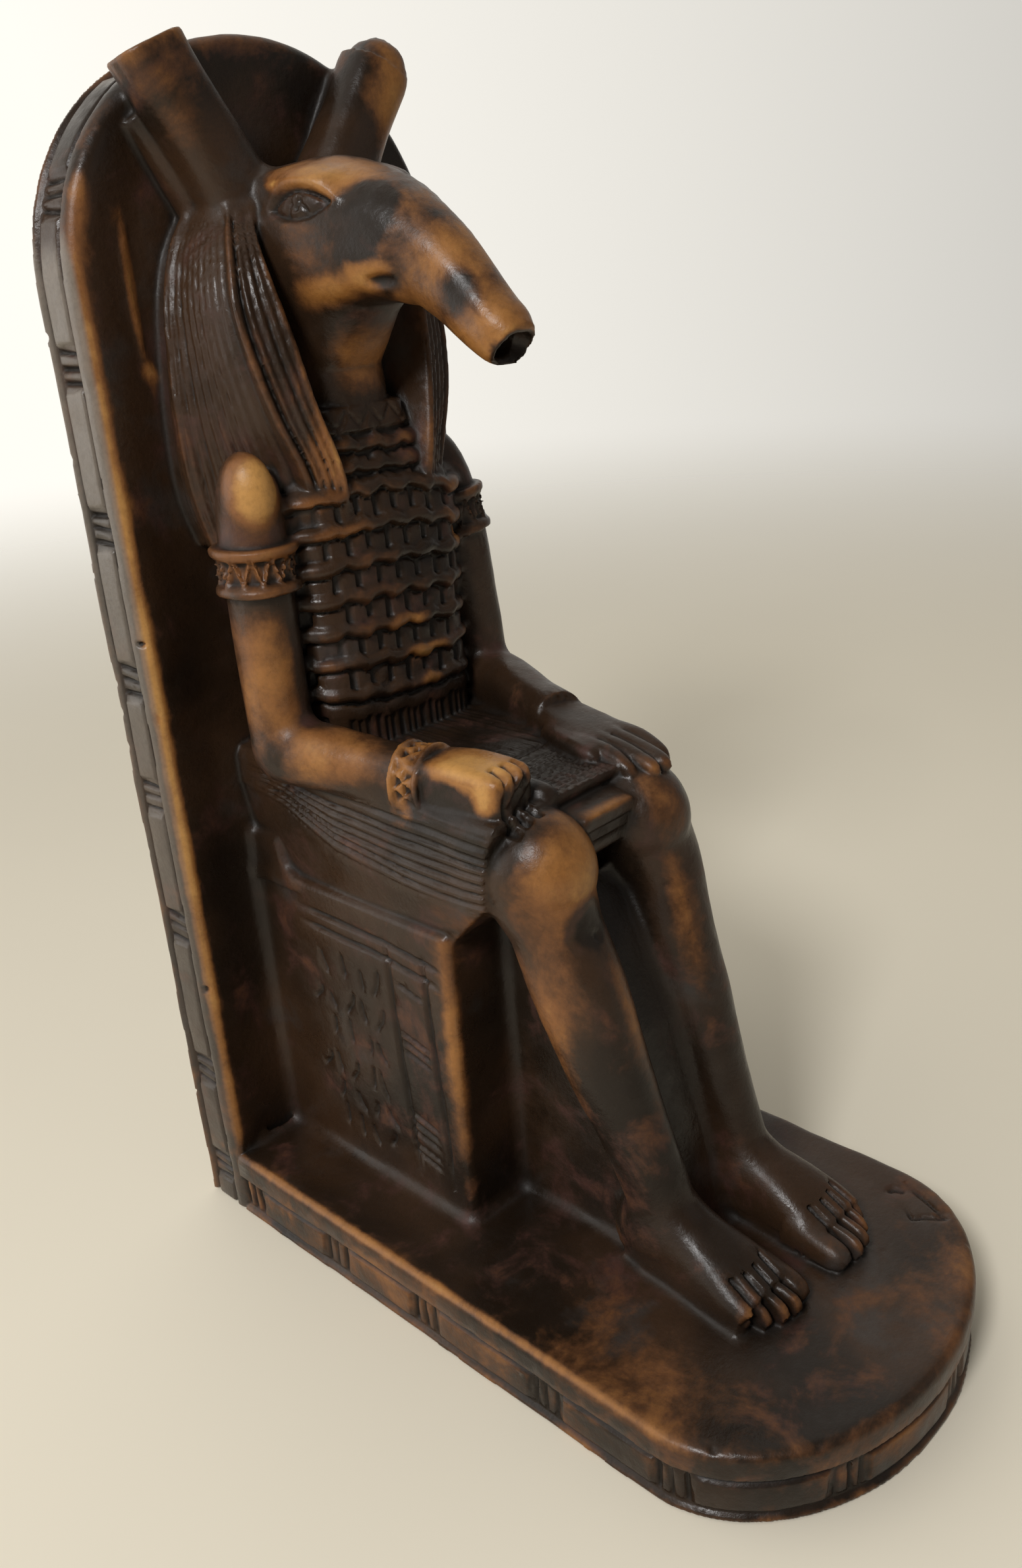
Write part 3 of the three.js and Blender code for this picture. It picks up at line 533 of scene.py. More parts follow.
def carve_wig(block, side):
    side_points, face_points = 57, 45
    # The front face's deep cuts between its strands: where, and how deep
    cuts = ((0.09, 1.7), (0.33, 0.9), (0.56, 1.15), (0.79, 0.85))

    def outline(row):
        _, back, outer_x, outer_f, inner_x, inner_f = row
        points = [(back, -2)]
        along = np.array((outer_x - back, outer_f - 1.0))
        length = np.hypot(*along)
        away = np.array((along[1], -along[0])) / length
        for i in range(side_points):
            t = i / (side_points - 1)
            swell = 1.3 * math.sin(math.pi * t) + 1.5 * math.exp(-(((t - 0.17) / 0.12) ** 2))
            swell += 1.0 * math.exp(-(((t - 0.985) / 0.035) ** 2))
            groove = abs(math.sin(math.pi * (t * 13 + 0.25 * math.sin(9 * t))))
            hair = -0.75 * (1 - groove) ** 1.5 * (t < 0.93)
            point = np.array((back, 1.0)) + along * (0.55 * t + 0.45 * t * t) + away * (swell + hair)
            points.append(tuple(point))
        face = np.array((inner_x - outer_x, inner_f - outer_f))
        outward = np.array((-face[1], face[0])) / np.hypot(*face) * -1
        outward = outward if outward[1] > 0 else -outward
        for i in range(face_points):
            t = i / (face_points - 1)
            lift = 0.35
            for at, depth in cuts:
                lift -= depth * max(1 - abs(t - at) * 8.2 / 0.75, 0)
            lift -= 0.9 * max(t - 0.93, 0) / 0.07
            point = np.array((outer_x, outer_f)) + face * t + outward * lift
            points.append(tuple(point))
        points += [(inner_x - 1.5, inner_f - 5), (5, 4), (5, -2)]
        return [(side * x, SLAB_FACE - f) for x, f in points]

    block.join(level_sections(smooth_line(WIG_ROWS, 24), outline, 1.2), 0.8)


def carve_head(block):
    head = [
        (0, -2, 195.5, 14, 13.5), (0, 11, 196.6, 14.6, 14), (0, 24.6, 197, 13.8, 13.6),
        (0, 35.9, 196.1, 10.6, 10.7), (0, 45.3, 192.5, 8, 8.3), (0, 52.2, 187.8, 6.6, 6.9),
        (0, 58.2, 182.4, 5.9, 6), (0, 62.6, 179, 5.5, 5.4), (0, 65, 177.4, 4.4, 4.4),
    ]
    block.join(limb(head, 2.25, samples=34), 2.2)
    jaw = [
        (0, 8, 187.5, 11.4, 6), (0, 18, 188.4, 11.9, 5.2), (0, 27, 190.3, 11.2, 4.8),
        (0, 35, 191.6, 9.4, 5.0), (0, 42, 192, 7.6, 5.6),
    ]
    block.join(limb(jaw, 2.5), 4.0)
    for side in (-1, 1):
        brow, _, _ = egg(place(9.2 * side, 22, 206.2), (3.6, 9.5, 2.4), 0)
        block.join((brow, *sorted_corners(place(side, 36, 200), place(17 * side, 8, 212))), 2.8)
        carve_eye(block, side)
        # The corner of the mouth
        block.cut(egg(place(8.9 * side, 41.5, 189.0), (1.7, 3.4, 1.2), 7), 1.2)
    # The broken tip of the snout
    tip = place(0, 65.6, 176.2)
    hollows = ((-0.7, 0.2, -0.5, 3.7), (1.4, 0.8, 0.5, 2.9), (-0.2, -1.2, -2.0, 3.1), (-0.6, 3.4, 2.0, 3.0))
    for *shift, size in hollows:
        block.cut(egg(tip + np.array(shift), (size, size, size), 5), 0.25)


def carve_ears(block):
    """Two tall ears: the right one broken off flat at the top, the left one rounded."""
    stem = [
        (8.6, 6, 198, 9.6, 8.8), (13, 6, 207, 7.9, 7.2), (19.3, 6.4, 217.5, 6.8, 6.3),
        (25.6, 6.9, 227, 6.8, 6.2),
    ]
    whole, low, high = limb(stem + [(32.6, 7, 239.5, 7.6, 6.4)], 2.7, -1)
    # The break falls outwards and to the back, from its height at a point on the ear's line
    height, at_x, at_y = 245.8, -28, 63
    outwards, backwards, steepness = 0.36, 0.16, 1.07

    def broken_off(x, y, z):
        over = z - height - outwards * (x - at_x) + backwards * (y - at_y)
        return meet(whole(x, y, z), over / steepness, 0.5)

    block.join((broken_off, low, high), 2.4)
    tip = [(26.6, 7.1, 228.8, 5.6, 5.4), (27.4, 7.2, 231, 4.3, 4.2), (27.8, 7.2, 232.2, 2.2, 2.2)]
    block.join(limb(stem + tip, 2.6), 2.4)
    # Thin raised edges where the ears leave the slab
    right = [(28.2, 0.5, 219, 1.2, 1.8), (24.3, 0.9, 212.6, 1.5, 2.3), (19.6, 1.6, 203, 1.3, 2.6)]
    left = [
        (21.6, 0.6, 227.5, 1.2, 1.8), (19.0, 0.7, 222.5, 1.4, 2.1), (15.4, 0.7, 216, 1.4, 2.1),
        (12.2, 1.0, 211, 1.2, 2.2),
    ]
    for side, ridge in ((-1, right), (1, left)):
        block.join(limb(ridge, 2.0, side), 1.4)


def sorted_corners(a, b):
    """The lowest and the highest corner of the box between two points."""
    return np.minimum(a, b), np.maximum(a, b)


def carve_eye(block, side):
    centre = place(12.2 * side, 25.5, 202.6)
    outward = np.array((0.9 * side, 0.1, 0.44))
    outward /= np.linalg.norm(outward)
    forwards = np.array((-0.2 * side, -1, 0.05))
    forwards -= outward * (forwards @ outward)
    forwards /= np.linalg.norm(forwards)
    up = np.cross(outward, forwards) * -side
    long, tall = 6.2, 2.2

    def relief(x, y, z):
        off = [p - c for p, c in zip((x, y, z), centre)]
        p, q, r = (sum(o * v for o, v in zip(off, axis)) for axis in (forwards, up, outward))
        # An almond is what two circles share
        reach = (long**2 + tall**2) / (2 * tall)
        rim = np.maximum(np.hypot(p, q - (tall - reach)), np.hypot(p, q + (tall - reach))) - reach
        groove = vee(rim, 0.8, 1.1 + 0.35 * (q > 0))
        lid = -0.4 * np.exp(-(((rim - 1.5) / 0.8) ** 2)) * smooth(-1.5, 1, q)
        inner = vee(rim + 1.35, 0.5, 0.25)
        ball = -0.3 * smooth(-0.6, -2.2, rim)
        pupil = [(-2.4, -1.5), (-1.4, 0.5), (-0.3, -0.8), (0.7, 0.7), (2.0, -1.3)]
        gap, _ = line_gap(pupil, p, q)
        notch = vee(gap, 0.6, 0.9) * (rim < -0.3)
        return (groove + lid + ball + inner + notch) * (np.abs(r) < 4.5)

    block.sink(relief, centre - 10, centre + 10)


def carve_arm(block, side):
    if side < 0:
        upper = [
            (26.6, 17.4, 158, 2, 2), (27, 18, 155, 5.4, 5.6), (27.8, 18.5, 147, 6.2, 6.4),
            (28.1, 18.7, 133, 6.3, 7.0),
        ]
        bangle = (28.1, 18.8, 134.6), (28, 18.7, 143.8)
    else:
        upper = [
            (22.4, 14, 158, 2, 2), (23, 14.6, 155, 4.8, 5), (24.8, 16.2, 147, 6.4, 6.8),
            (26.6, 17.6, 133, 6.8, 7.4),
        ]
        bangle = (26.4, 17.5, 135), (25.2, 16.6, 144.6)
    upper += [(28.2, 19, 115, 6.2, 6.7), (28.4, 20, 103, 6.0, 6.3), (28.4, 20.6, 98.5, 4, 4.4)]
    lower = [
        (28.6, 15, 102, 4, 4.4), (28.2, 19, 101.8, 6.5, 6.8), (26.4, 29, 101.3, 6.6, 6.7),
        (22.6, 42, 99.9, 5.9, 6.1), (20.2, 51, 99.4, 5.6, 5.7),
    ]
    block.join(limb(upper, 2.2, side), 2.6)
    if side < 0:
        # The right shoulder stands out more
        block.join(egg(place(-29.2, 20.6, 153.6), (5.0, 6.2, 8.0), 13), 1.2)
    block.join(limb(lower, 2.3, side), 2.0)
    carve_bangle(block, *bangle, (7.7, 8.2), side, 12, 1)


def carve_bangle(block, start, end, radii, side, teeth, rows):
    """A band with a rim at each end and rows of cut triangles that point up and down in turn."""
    a = place(side * start[0], start[1], start[2])
    b = place(side * end[0], end[1], end[2])
    length = np.linalg.norm(b - a)
    along = (b - a) / length
    across = np.array((1.0, 0, 0)) - along * along[0]
    across /= np.linalg.norm(across)
    outward = np.cross(along, across)
    reach = max(radii) + 4

    def distance(x, y, z):
        off = [p - c for p, c in zip((x, y, z), a)]
        t, p, q = (sum(o * v for o, v in zip(off, axis)) for axis in (along, across, outward))
        k = np.sqrt((p / radii[0]) ** 2 + (q / radii[1]) ** 2)
        share = t / length
        rim = 1 - smooth(0.13, 0.19, np.minimum(share, 1 - share))
        skin = (k - 1) * min(radii) - 0.25 - 0.45 * rim
        turn = np.arctan2(q / radii[1], p / radii[0]) / (2 * math.pi) * teeth
        for row in range(rows):
            low = 0.2 + 0.6 * row / rows
            level = (share - low) / (0.6 / rows)
            phase = np.abs(np.mod(turn + 0.5 * row, 1) - 0.5) * 2
            # Cut triangles: wide at the foot where they point up, and the other way between
            up = np.clip((1.0 - phase - level * 0.9) / 0.22, 0, 1) * smooth(0.04, 0.12, level)
            down = np.clip((phase - 0.12 - (1 - level) * 0.9) / 0.22, 0, 1) * smooth(0.04, 0.12, 1 - level)
            cut = up if rows > 1 else np.maximum(up, down)
            skin = skin + 1.5 * cut * (level > 0) * (level < 1)
        return meet(skin, np.maximum(-t, t - length), 0.35)

    block.join((distance, np.minimum(a, b) - reach, np.maximum(a, b) + reach), 0.3)


def carve_hands(block):
    """The right hand is a closed fist, and the left one lies flat."""
    fist = [
        (20.4, 50, 99.2, 5.3, 5.3), (19.2, 57, 99.8, 6.0, 5.6), (18.2, 64, 99.9, 6.3, 5.8),
        (17.6, 71.6, 99.5, 6.1, 5.6), (17.4, 73.4, 99.3, 4.9, 4.5),
    ]
    block.join(limb(fist, 5.5, -1, 30), 0.9)
    carve_bangle(block, (20.9, 48.0, 99.5), (19.5, 55.2, 99.6), (6.6, 6.8), -1, 14, 2)
    # Cuts between its fingers
    for dx in (-3.3, -0.3, 2.7):
        line = [(-17.3 + dx, 110), (-17.8 + dx, 114.5), (-17.2 + dx, 119), (-16.2 + dx, 121.4)]
        block.engrave(1, line, 0.95, 1.9, (0, SLAB_FACE - 77, 0), (0, SLAB_FACE - 69.8, 0), taper=False)
    thumb = [
        (12.6, 63, 97.6, 2.4, 2.8), (10.4, 68, 97.2, 2.6, 3.0), (9.0, 73, 96.6, 2.4, 2.6),
        (8.7, 74.6, 96.2, 1.4, 1.5),
    ]
    block.join(limb(thumb, 2.4, -1, 12), 0.9)

    palm = [
        (20.6, 48, 99, 5.2, 4.8), (19.8, 54, 98.4, 6.6, 3.9), (18.6, 62, 97.8, 7.2, 3.3),
        (18, 67, 97.2, 6.8, 2.9),
    ]
    block.join(limb(palm, 2.8), 1.2)
    for dx, reach in ((-5.3, 77.5), (-1.8, 80.5), (1.8, 80.5), (5.3, 77.5)):
        finger = [
            (18 + dx, 62, 98.2, 1.95, 2.3), (17.6 + dx, 70, 97.8, 1.9, 2.2),
            (17.2 + dx, reach - 2, 95.8, 1.8, 2.1), (17.1 + dx, reach, 94.4, 1.2, 1.4),
        ]
        block.join(limb(finger, 2.4, samples=12), 0.3)
    thumb = [
        (14.2, 54, 98, 2.2, 2.6), (11.4, 61, 97.9, 2.1, 2.6), (10, 68, 97.6, 2.0, 2.3),
        (9.8, 70.2, 97.2, 1.2, 1.3),
    ]
    block.join(limb(thumb, 2.4, samples=12), 0.6)


# Each foot's toes: how far across from its middle, how far forward, half width
RIGHT_TOES = (
    (-7.6, 125.9, 2.5), (-3.9, 126.9, 1.9), (-0.6, 126.2, 1.8), (2.6, 124.4, 1.7), (5.5, 121.6, 1.6),
)
LEFT_TOES = (
    (-5.4, 127.6, 2.5), (-1.5, 128.4, 1.9), (1.8, 127.8, 1.8), (4.9, 126.0, 1.7), (7.4, 123.4, 1.6),
)
FOOT_MIDDLE = 12.8
# Both legs stand to the god's left of the middle, more at the feet than at the knees
FOOT_SHIFT = 3.2
KNEE_SHIFT = 0.8
KNEE_HEIGHT = 86


def carve_leg(block, side):
    lean = lambda u: FOOT_SHIFT + (KNEE_SHIFT - FOOT_SHIFT) * min(max(u / KNEE_HEIGHT, 0), 1)
    put = lambda rows: [(side * x + lean(u), f, u, a, b) for x, f, u, a, b in rows]
    # The left shin comes further out and forward under the knee
    full = 0 if side < 0 else 1.1
    shin = [
        (15, 74.5, 88, 9, 8), (15 + full, 76.6 + full, 77, 8.8, 8.8),
        (14.8 + full, 78.6 + full, 70.5, 8.6, 8.9), (14.5, 82.0, 61, 8.7, 9.5), (14, 86.6, 47, 7.8, 9.0),
        (13.3, 92.6, 31, 6.4, 7.6), (12.9, 97.4, 18, 5.9, 6.9), (12.8, 100.2, 8, 6.2, 7.6),
    ]
    block.join(limb(put(shin), 2.2, samples=28), 2.5)
    fillet = lambda x, y, z: 4.0 - 3.5 * smooth(PLINTH_TOP + 74, PLINTH_TOP + 83, z)
    block.join(egg(place(side * 14.8 + 0.6, 74, 84.4), (11.0, 12.6, 12.2), 18), fillet)
    if side < 0:
        # A flaked place under the right knee
        flakes = ((0, 0, 0, 2.6), (2.4, 0.2, 0.6, 2.0), (-2.2, -0.6, 1.4, 1.8), (1.2, 0, -2.2, 1.6))
        for dx, df, du, size in flakes:
            block.cut(egg(place(-13.4 + dx, 88.0 + df, 75.4 + du), (size, 1.6, size), 4), 0.2)
    toes = RIGHT_TOES if side < 0 else LEFT_TOES
    middle = FOOT_MIDDLE + sum(toe[0] for toe in toes) / 5
    foot = [
        (12.4, 90, 4.5, 4.6, 5.4), (12.5, 95.5, 6.5, 6.0, 8.2), (12.6, 103, 7.2, 6.7, 8.6),
        (0.5 * (12.6 + middle), 110, 5.6, 7.7, 7.2), (middle, 117, 3.6, 8.6, 5.4),
        (middle, 121, 2.2, 8.4, 4.6),
    ]
    block.join(limb(put(foot), 2.5, samples=26), 3.0)
    for dx, reach, half in toes:
        tip = FOOT_MIDDLE + dx
        toe = [
            (FOOT_MIDDLE + dx * 0.95, 114.5, 3.6, half * 1.1, 3.6),
            (FOOT_MIDDLE + dx * 0.98, 119.5, 2.8, half * 1.12, 3.3),
            (tip, reach - 2.0, 1.9, half * 1.08, 2.9), (tip, reach, 0.9, half * 0.7, 1.8),
        ]
        block.join(limb(put(toe), 2.3, samples=12), 0.8)
    # Dark cuts between the toes
    for a, b in zip(toes[:-1], toes[1:]):
        split = a[0] + (b[0] - a[0]) * a[2] / (a[2] + b[2])
        start = side * (FOOT_MIDDLE + split * 0.93) + FOOT_SHIFT, SLAB_FACE - 116.6
        end = side * (FOOT_MIDDLE + split) + FOOT_SHIFT, SLAB_FACE - max(a[1], b[1]) - 1
        bend = 0.5 * (start[0] + end[0]) + 0.3 * side, 0.5 * (start[1] + end[1])
        low, high = (0, 0, PLINTH_TOP - 0.2), (0, 0, PLINTH_TOP + 9)
        block.engrave(2, [start, bend, end], 0.8, 1.7, low, high, taper=False)


def scatter(axes, spacing, draw):
    """Even random waves over the grid, from -1 to 1, with features of about the given size."""
    coarse = [max(int((axis[-1] - axis[0]) / spacing) + 4, 4) for axis in axes]
    values = draw.uniform(-1, 1, coarse).astype(np.float32)
    for k, axis in enumerate(axes):
        at = (axis - axis[0]) / spacing + 1
        i = np.clip(at.astype(int), 0, coarse[k] - 2)
        t = at - i
        t = (t * t * (3 - 2 * t)).astype(np.float32)
        values = np.moveaxis(values, k, 0)
        along = (-1,) + (1,) * (values.ndim - 1)
        values = values[i] * (1 - t).reshape(along) + values[i + 1] * t.reshape(along)
        values = np.moveaxis(values, 0, k)
    return values


def chip_edges(block, sizes, draw):
    """Small breaks along the slab's and the plinth's edges."""
    half, spring, nose = sizes.half_width, sizes.height - sizes.arch_rise, sizes.nose_depth
    rims = (SLAB_FACE + 0.4, round(sizes.back))
    spots = [
        ((-half, 70.5, 125), 1.3), ((-half, 71, 61), 1.1), ((-half + 0.5, 71, 141), 1.0),
        ((-41, -62, 16.5), 0.9),
    ]
    for _ in range(sizes.chips):
        # On the slab's two sides, on its round top, or on the plinth's round front
        kind = draw.integers(0, 4)
        if kind < 2:
            at = ((-half, half)[kind], draw.choice(rims), draw.uniform(8, spring))
        else:
            turn = draw.uniform(0, math.pi)
            across, share = -half * math.cos(turn), math.sin(turn)
            if kind == 2:
                at = (across, draw.choice(rims), spring + sizes.arch_rise * share)
            else:
                at = (across, sizes.front + nose - nose * share, PLINTH_TOP - 0.2)
        spots.append((at, draw.uniform(0.45, 1.0)))
    # Shallow pits on top of the plinth
    for _ in range(26):
        at = (draw.uniform(-38, 38), draw.uniform(-88, 8), PLINTH_TOP + 0.3)
        spots.append((at, draw.uniform(0.5, 0.8)))
    for at, size in spots:
        block.cut(egg(np.array(at, dtype=float), size * draw.uniform(0.7, 1.5, 3), 2 * size + 1), 0.3)


def surface(block):
    """The closed surface of the stone as points and four-sided faces: one point in each cell it crosses."""
    field = block.field
    solid = field < 0
    corners = [
        solid[tuple(slice(start, size - 1 + start) for start, size in zip(corner, field.shape))]
        for corner in CORNERS
    ]
    some, every = corners[0].copy(), corners[0].copy()
    for corner in corners[1:]:
        some |= corner
        every &= corner
    cells = np.argwhere(some & ~every)
    index = np.full(corners[0].shape, -1, dtype=np.int32)
    index[tuple(cells.T)] = np.arange(len(cells), dtype=np.int32)
    offsets = np.array(CORNERS)
    values = np.stack([field[tuple((cells + o).T)] for o in offsets], axis=1)
    total = np.zeros((len(cells), 3), dtype=np.float32)
    hits = np.zeros(len(cells), dtype=np.float32)
    # Each point is the mean of where the surface crosses its cell's edges
    for a, b in combinations(range(len(CORNERS)), 2):
        if np.abs(offsets[a] - offsets[b]).sum() != 1:
            continue
        va, vb = values[:, a], values[:, b]
        crossed = (va < 0) != (vb < 0)
        t = np.where(crossed, va / np.where(va == vb, 1, va - vb), 0)
        total += np.where(crossed[:, None], offsets[a] + t[:, None] * (offsets[b] - offsets[a]), 0)
        hits += crossed
    points = (cells + total / hits[:, None]) * block.step + np.array([axis[0] for axis in block.axes])
    faces = []
    for axis in range(3):
        others = [k for k in range(3) if k != axis]
        first = [slice(0, -1) if k == axis else slice(1, -1) for k in range(3)]
        second = [slice(1, None) if k == axis else slice(1, -1) for k in range(3)]
        a, b = solid[tuple(first)], solid[tuple(second)]
        edges = np.argwhere(a != b)
        for k in others:
            edges[:, k] += 1
        leaving = solid[tuple(edges.T)]
        steps = [np.zeros(3, dtype=int) for _ in range(4)]
        steps[1][others[0]] = steps[2][others[0]] = -1
        steps[2][others[1]] = steps[3][others[1]] = -1
        quad = np.stack([index[tuple((edges + s).T)] for s in steps], axis=1)
        turned = leaving if axis != 1 else ~leaving
        quad[turned] = quad[turned][:, ::-1]
        faces.append(quad)
    return points, np.concatenate(faces)


def box_blur(values, reach):
    """The mean over a cube, by running sums along each axis."""
    for axis in range(3):
        size = values.shape[axis]
        sums = np.cumsum(values, axis=axis, dtype=np.float64)
        high = np.minimum(np.arange(size) + reach, size - 1)
        low = np.arange(size) - reach - 1
        upper = np.take(sums, high, axis=axis)
        lower = np.take(sums, np.maximum(low, 0), axis=axis)
        shape = [1, 1, 1]
        shape[axis] = size
        lower = lower * (low >= 0).reshape(shape)
        values = ((upper - lower) / (2 * reach + 1)).astype(np.float32)
    return values


def sample(values, axes, step, points):
    """The grid's values at the points, by straight-line interpolation."""
    at = (points - np.array([axis[0] for axis in axes])) / step
    base = np.clip(np.floor(at).astype(int), 0, np.array(values.shape) - 2)
    t = at - base
    out = np.zeros(len(points), dtype=np.float32)
    for corner in CORNERS:
        share = math.prod(t[:, k] if far else 1 - t[:, k] for k, far in enumerate(corner))
        out += share * values[tuple((base + corner).T)]
    return out


# Wear, and painted shade
# Places where handling has taken the dark coat off: centre (x, f, u), radii, strength
AMBER_SPOTS = [
    # The snout and the head
    ((0, 60, 180), (9, 9, 9), 0.82), ((0, 50, 189), (9, 10, 9), 0.8), ((0, 40, 197), (10, 9, 8), 0.72),
    ((-6, 28, 207), (9, 12, 4.5), 0.8), ((-8, 20, 208), (6, 7, 3.5), 0.7),
    ((-9, 34, 204.5), (5, 6, 3), 0.5), ((-11, 30, 187.5), (4, 10, 4), 0.7),
    ((-9, 38, 190), (4, 7, 3.5), 0.75), ((-13, 27, 196), (5, 9, 7), 0.22),
    ((-12.6, 19.6, 206.6), (2, 2.6, 1.2), 0.9), ((0, 24, 176), (8, 6, 8), 0.55),
    ((-24, 10.5, 222), (5, 5, 10), 0.2), ((24, 12, 220), (6, 6, 10), 0.75),
    # The right arm
    ((-30, 26, 155), (6, 6.5, 6.5), 1.25), ((-31, 22, 118), (5.5, 7, 15), 0.68),
    ((-30, 24, 140), (9, 9, 4.5), 0.32), ((-27, 34, 103), (9, 12, 6), 0.74),
    ((-21, 52, 100), (9, 5, 9), 0.7), ((-20, 66, 105), (7, 9, 3), 1.2),
    ((-23.5, 71, 101), (2.2, 3, 6), 1.0),
    # The legs and the kilt
    ((-14, 82, 84), (11, 11, 11), 0.8), ((-20, 82, 58), (4, 7, 26), 0.4),
    ((-10, 92, 50), (3, 6, 24), 0.4), ((14, 78, 88), (6, 8, 9), 0.55), ((12, 88, 64), (5, 6, 20), 0.4),
    ((1, 80, 94), (8, 3, 3), 0.8),
    # The corselet and the wig
    ((-19, 27, 149.5), (6, 4, 2.5), 0.5), ((-14, 29, 143.5), (7, 3, 2.5), 0.5),
    ((0, 30, 122.5), (5, 3, 2), 0.6), ((4, 30, 115), (6, 3, 2), 0.7),
    ((20, 27, 137.5), (2.5, 3, 2.5), 0.8), ((6, 30, 109), (3, 3, 1.6), 0.5),
    ((-13, 27, 158), (5, 4, 9), 0.62),
    # The throne, the slab and the plinth
    ((-26, 59, 46), (2.8, 3.4, 26), 0.5), ((-44, 0.6, 108), (1.9, 2.0, 114), 1.1),
    ((-41.6, 0.4, 220), (2.6, 2.2, 22), 0.6), ((-32.6, -1, 192), (1.3, 2.5, 13), 0.75),
    ((-31.2, -1, 175.6), (2.2, 2.5, 2.6), 0.65), ((-44.5, 62, 0), (1.3, 84, 1.2), 0.6),
    ((-36, 112, 0), (14, 30, 2.5), 0.26), ((-45, 60, -8), (3, 80, 6), 0.3),
    ((0, 152, -8), (40, 12, 6), 0.25), ((14, 140, 0), (34, 16, 2), 0.2),
]
# Places painted darker between them; in the snout's broken tip, at the corner of the mouth and between the
# shins this is painted shade
DARK_AND_SHADE_SPOTS = [
    # Beside the eye, in it and on the snout, and painted shade at the corner of the mouth and in the snout's
    # broken tip
    ((-8, 39, 201), (5.5, 5, 5), 0.8), ((-10, 38, 196.5), (3, 4, 3.5), 0.6),
    ((-13, 26, 202.6), (3, 6, 2.6), 0.4), ((-5, 58, 186.5), (2.2, 3.4, 4.4), 0.38),
    ((-7.5, 41.5, 189), (2.5, 3.5, 2), 0.4), ((-0.6, 65.6, 175.6), (3.7, 3.7, 3.7), 4.0),
    ((-0.6, 62.4, 178), (2.9, 2.9, 2.9), 4.0), ((1.2, 65, 176.4), (3, 3, 3), 4.0),
    # Behind the right elbow, on the fist and on the lap
    ((-24.4, 22, 118), (3.4, 6, 19), 0.7), ((-25, 27, 106), (3.5, 4, 5), 0.6),
    ((-25, 62, 97), (4, 8, 4), 0.7), ((-19, 68, 95), (5, 6, 6), 0.5), ((0, 58, 98), (13, 16, 4), 1.0),
    # Round the knees, and painted shade in the deep recess between the shins
    ((-23, 71, 92), (6, 6, 5.5), 0.9), ((1, 81, 88), (9, 3, 3.4), 0.8),
    ((-13, 87, 75.5), (5.5, 4, 4.5), 1.5), ((1.5, 70, 45), (11, 24, 52), 1.0),
]


class Sizes:
    """The block's sizes in millimetres, read from the settings and the frame."""

    def __init__(self, settings):
        low, high = CAD_BOX
        self.half_width = (high[0] - low[0]) / 2 / MM
        self.front, self.back = low[1] / MM, high[1] / MM
        self.height = high[2] / MM
        self.nose_depth = settings.nose_depth / MM
        self.arch_rise = settings.arch_rise / MM
        self.throne_half = settings.throne_width / 2 / MM
        self.throne_front = SLAB_FACE - settings.throne_depth / MM
        self.throne_height = settings.throne_height / MM
        self.chips = settings.chips


def carve_statue(settings):
    sizes = Sizes(settings)
    draw = np.random.default_rng(settings.seed)
    step = settings.grain / MM
    low = (-sizes.half_width - EDGE, sizes.front - EDGE, -EDGE)
    high = (sizes.half_width + EDGE, sizes.back + EDGE, sizes.height + EDGE)
    block = Block(low, high, step)
    carve_plinth(block, sizes, draw)
    carve_slab(block, sizes, draw)
    carve_throne(block, sizes, draw)
    carve_kilt(block, draw)
    carve_body(block, draw)
    for side in (-1, 1):
        carve_wig(block, side)
        carve_leg(block, side)
    for side in (-1, 1):
        carve_arm(block, side)
    carve_hands(block)
    carve_head(block)
    carve_ears(block)
    chip_edges(block, sizes, draw)
    # The hand-carved surface is never quite even
    for size, height in ((11.0, 0.2), (3.2, 0.07)):
        block.field += scatter(block.axes, size, draw) * height
    # The underside and the back stay flat
    np.maximum(block.field, -block.axes[2][None, None, :], out=block.field)
    np.maximum(block.field, block.axes[1][None, :, None] - sizes.back, out=block.field)
    return block


def build_statue_mesh(block, settings):
    points, faces = surface(block)
    mesh = bpy.data.meshes.new("carved_statue")
    mesh.vertices.add(len(points))
    mesh.vertices.foreach_set("co", (points * MM).astype(np.float32).ravel())
    mesh.loops.add(4 * len(faces))
    mesh.loops.foreach_set("vertex_index", faces.astype(np.int32).ravel())
    mesh.polygons.add(len(faces))
    mesh.polygons.foreach_set("loop_start", np.arange(0, 4 * len(faces), 4, dtype=np.int32))
    mesh.polygons.foreach_set("loop_total", np.full(len(faces), 4, dtype=np.int32))
    mesh.update(calc_edges=True)
    mesh.validate()
    statue = bpy.data.objects.new("carved_statue", mesh)
    bpy.context.scene.collection.objects.link(statue)
    ratio = settings.triangles / (2 * len(faces))
    if ratio < 1:
        thin = statue.modifiers.new("thin_out", "DECIMATE")
        thin.ratio = ratio
        shown = statue.evaluated_get(bpy.context.evaluated_depsgraph_get())
        thinned = bpy.data.meshes.new_from_object(shown)
        statue.modifiers.clear()
        statue.data = thinned
        bpy.data.meshes.remove(mesh)
    statue.data.name = "carved_statue"
    statue.data.polygons.foreach_set("use_smooth", np.ones(len(statue.data.polygons), dtype=bool))
    return statue


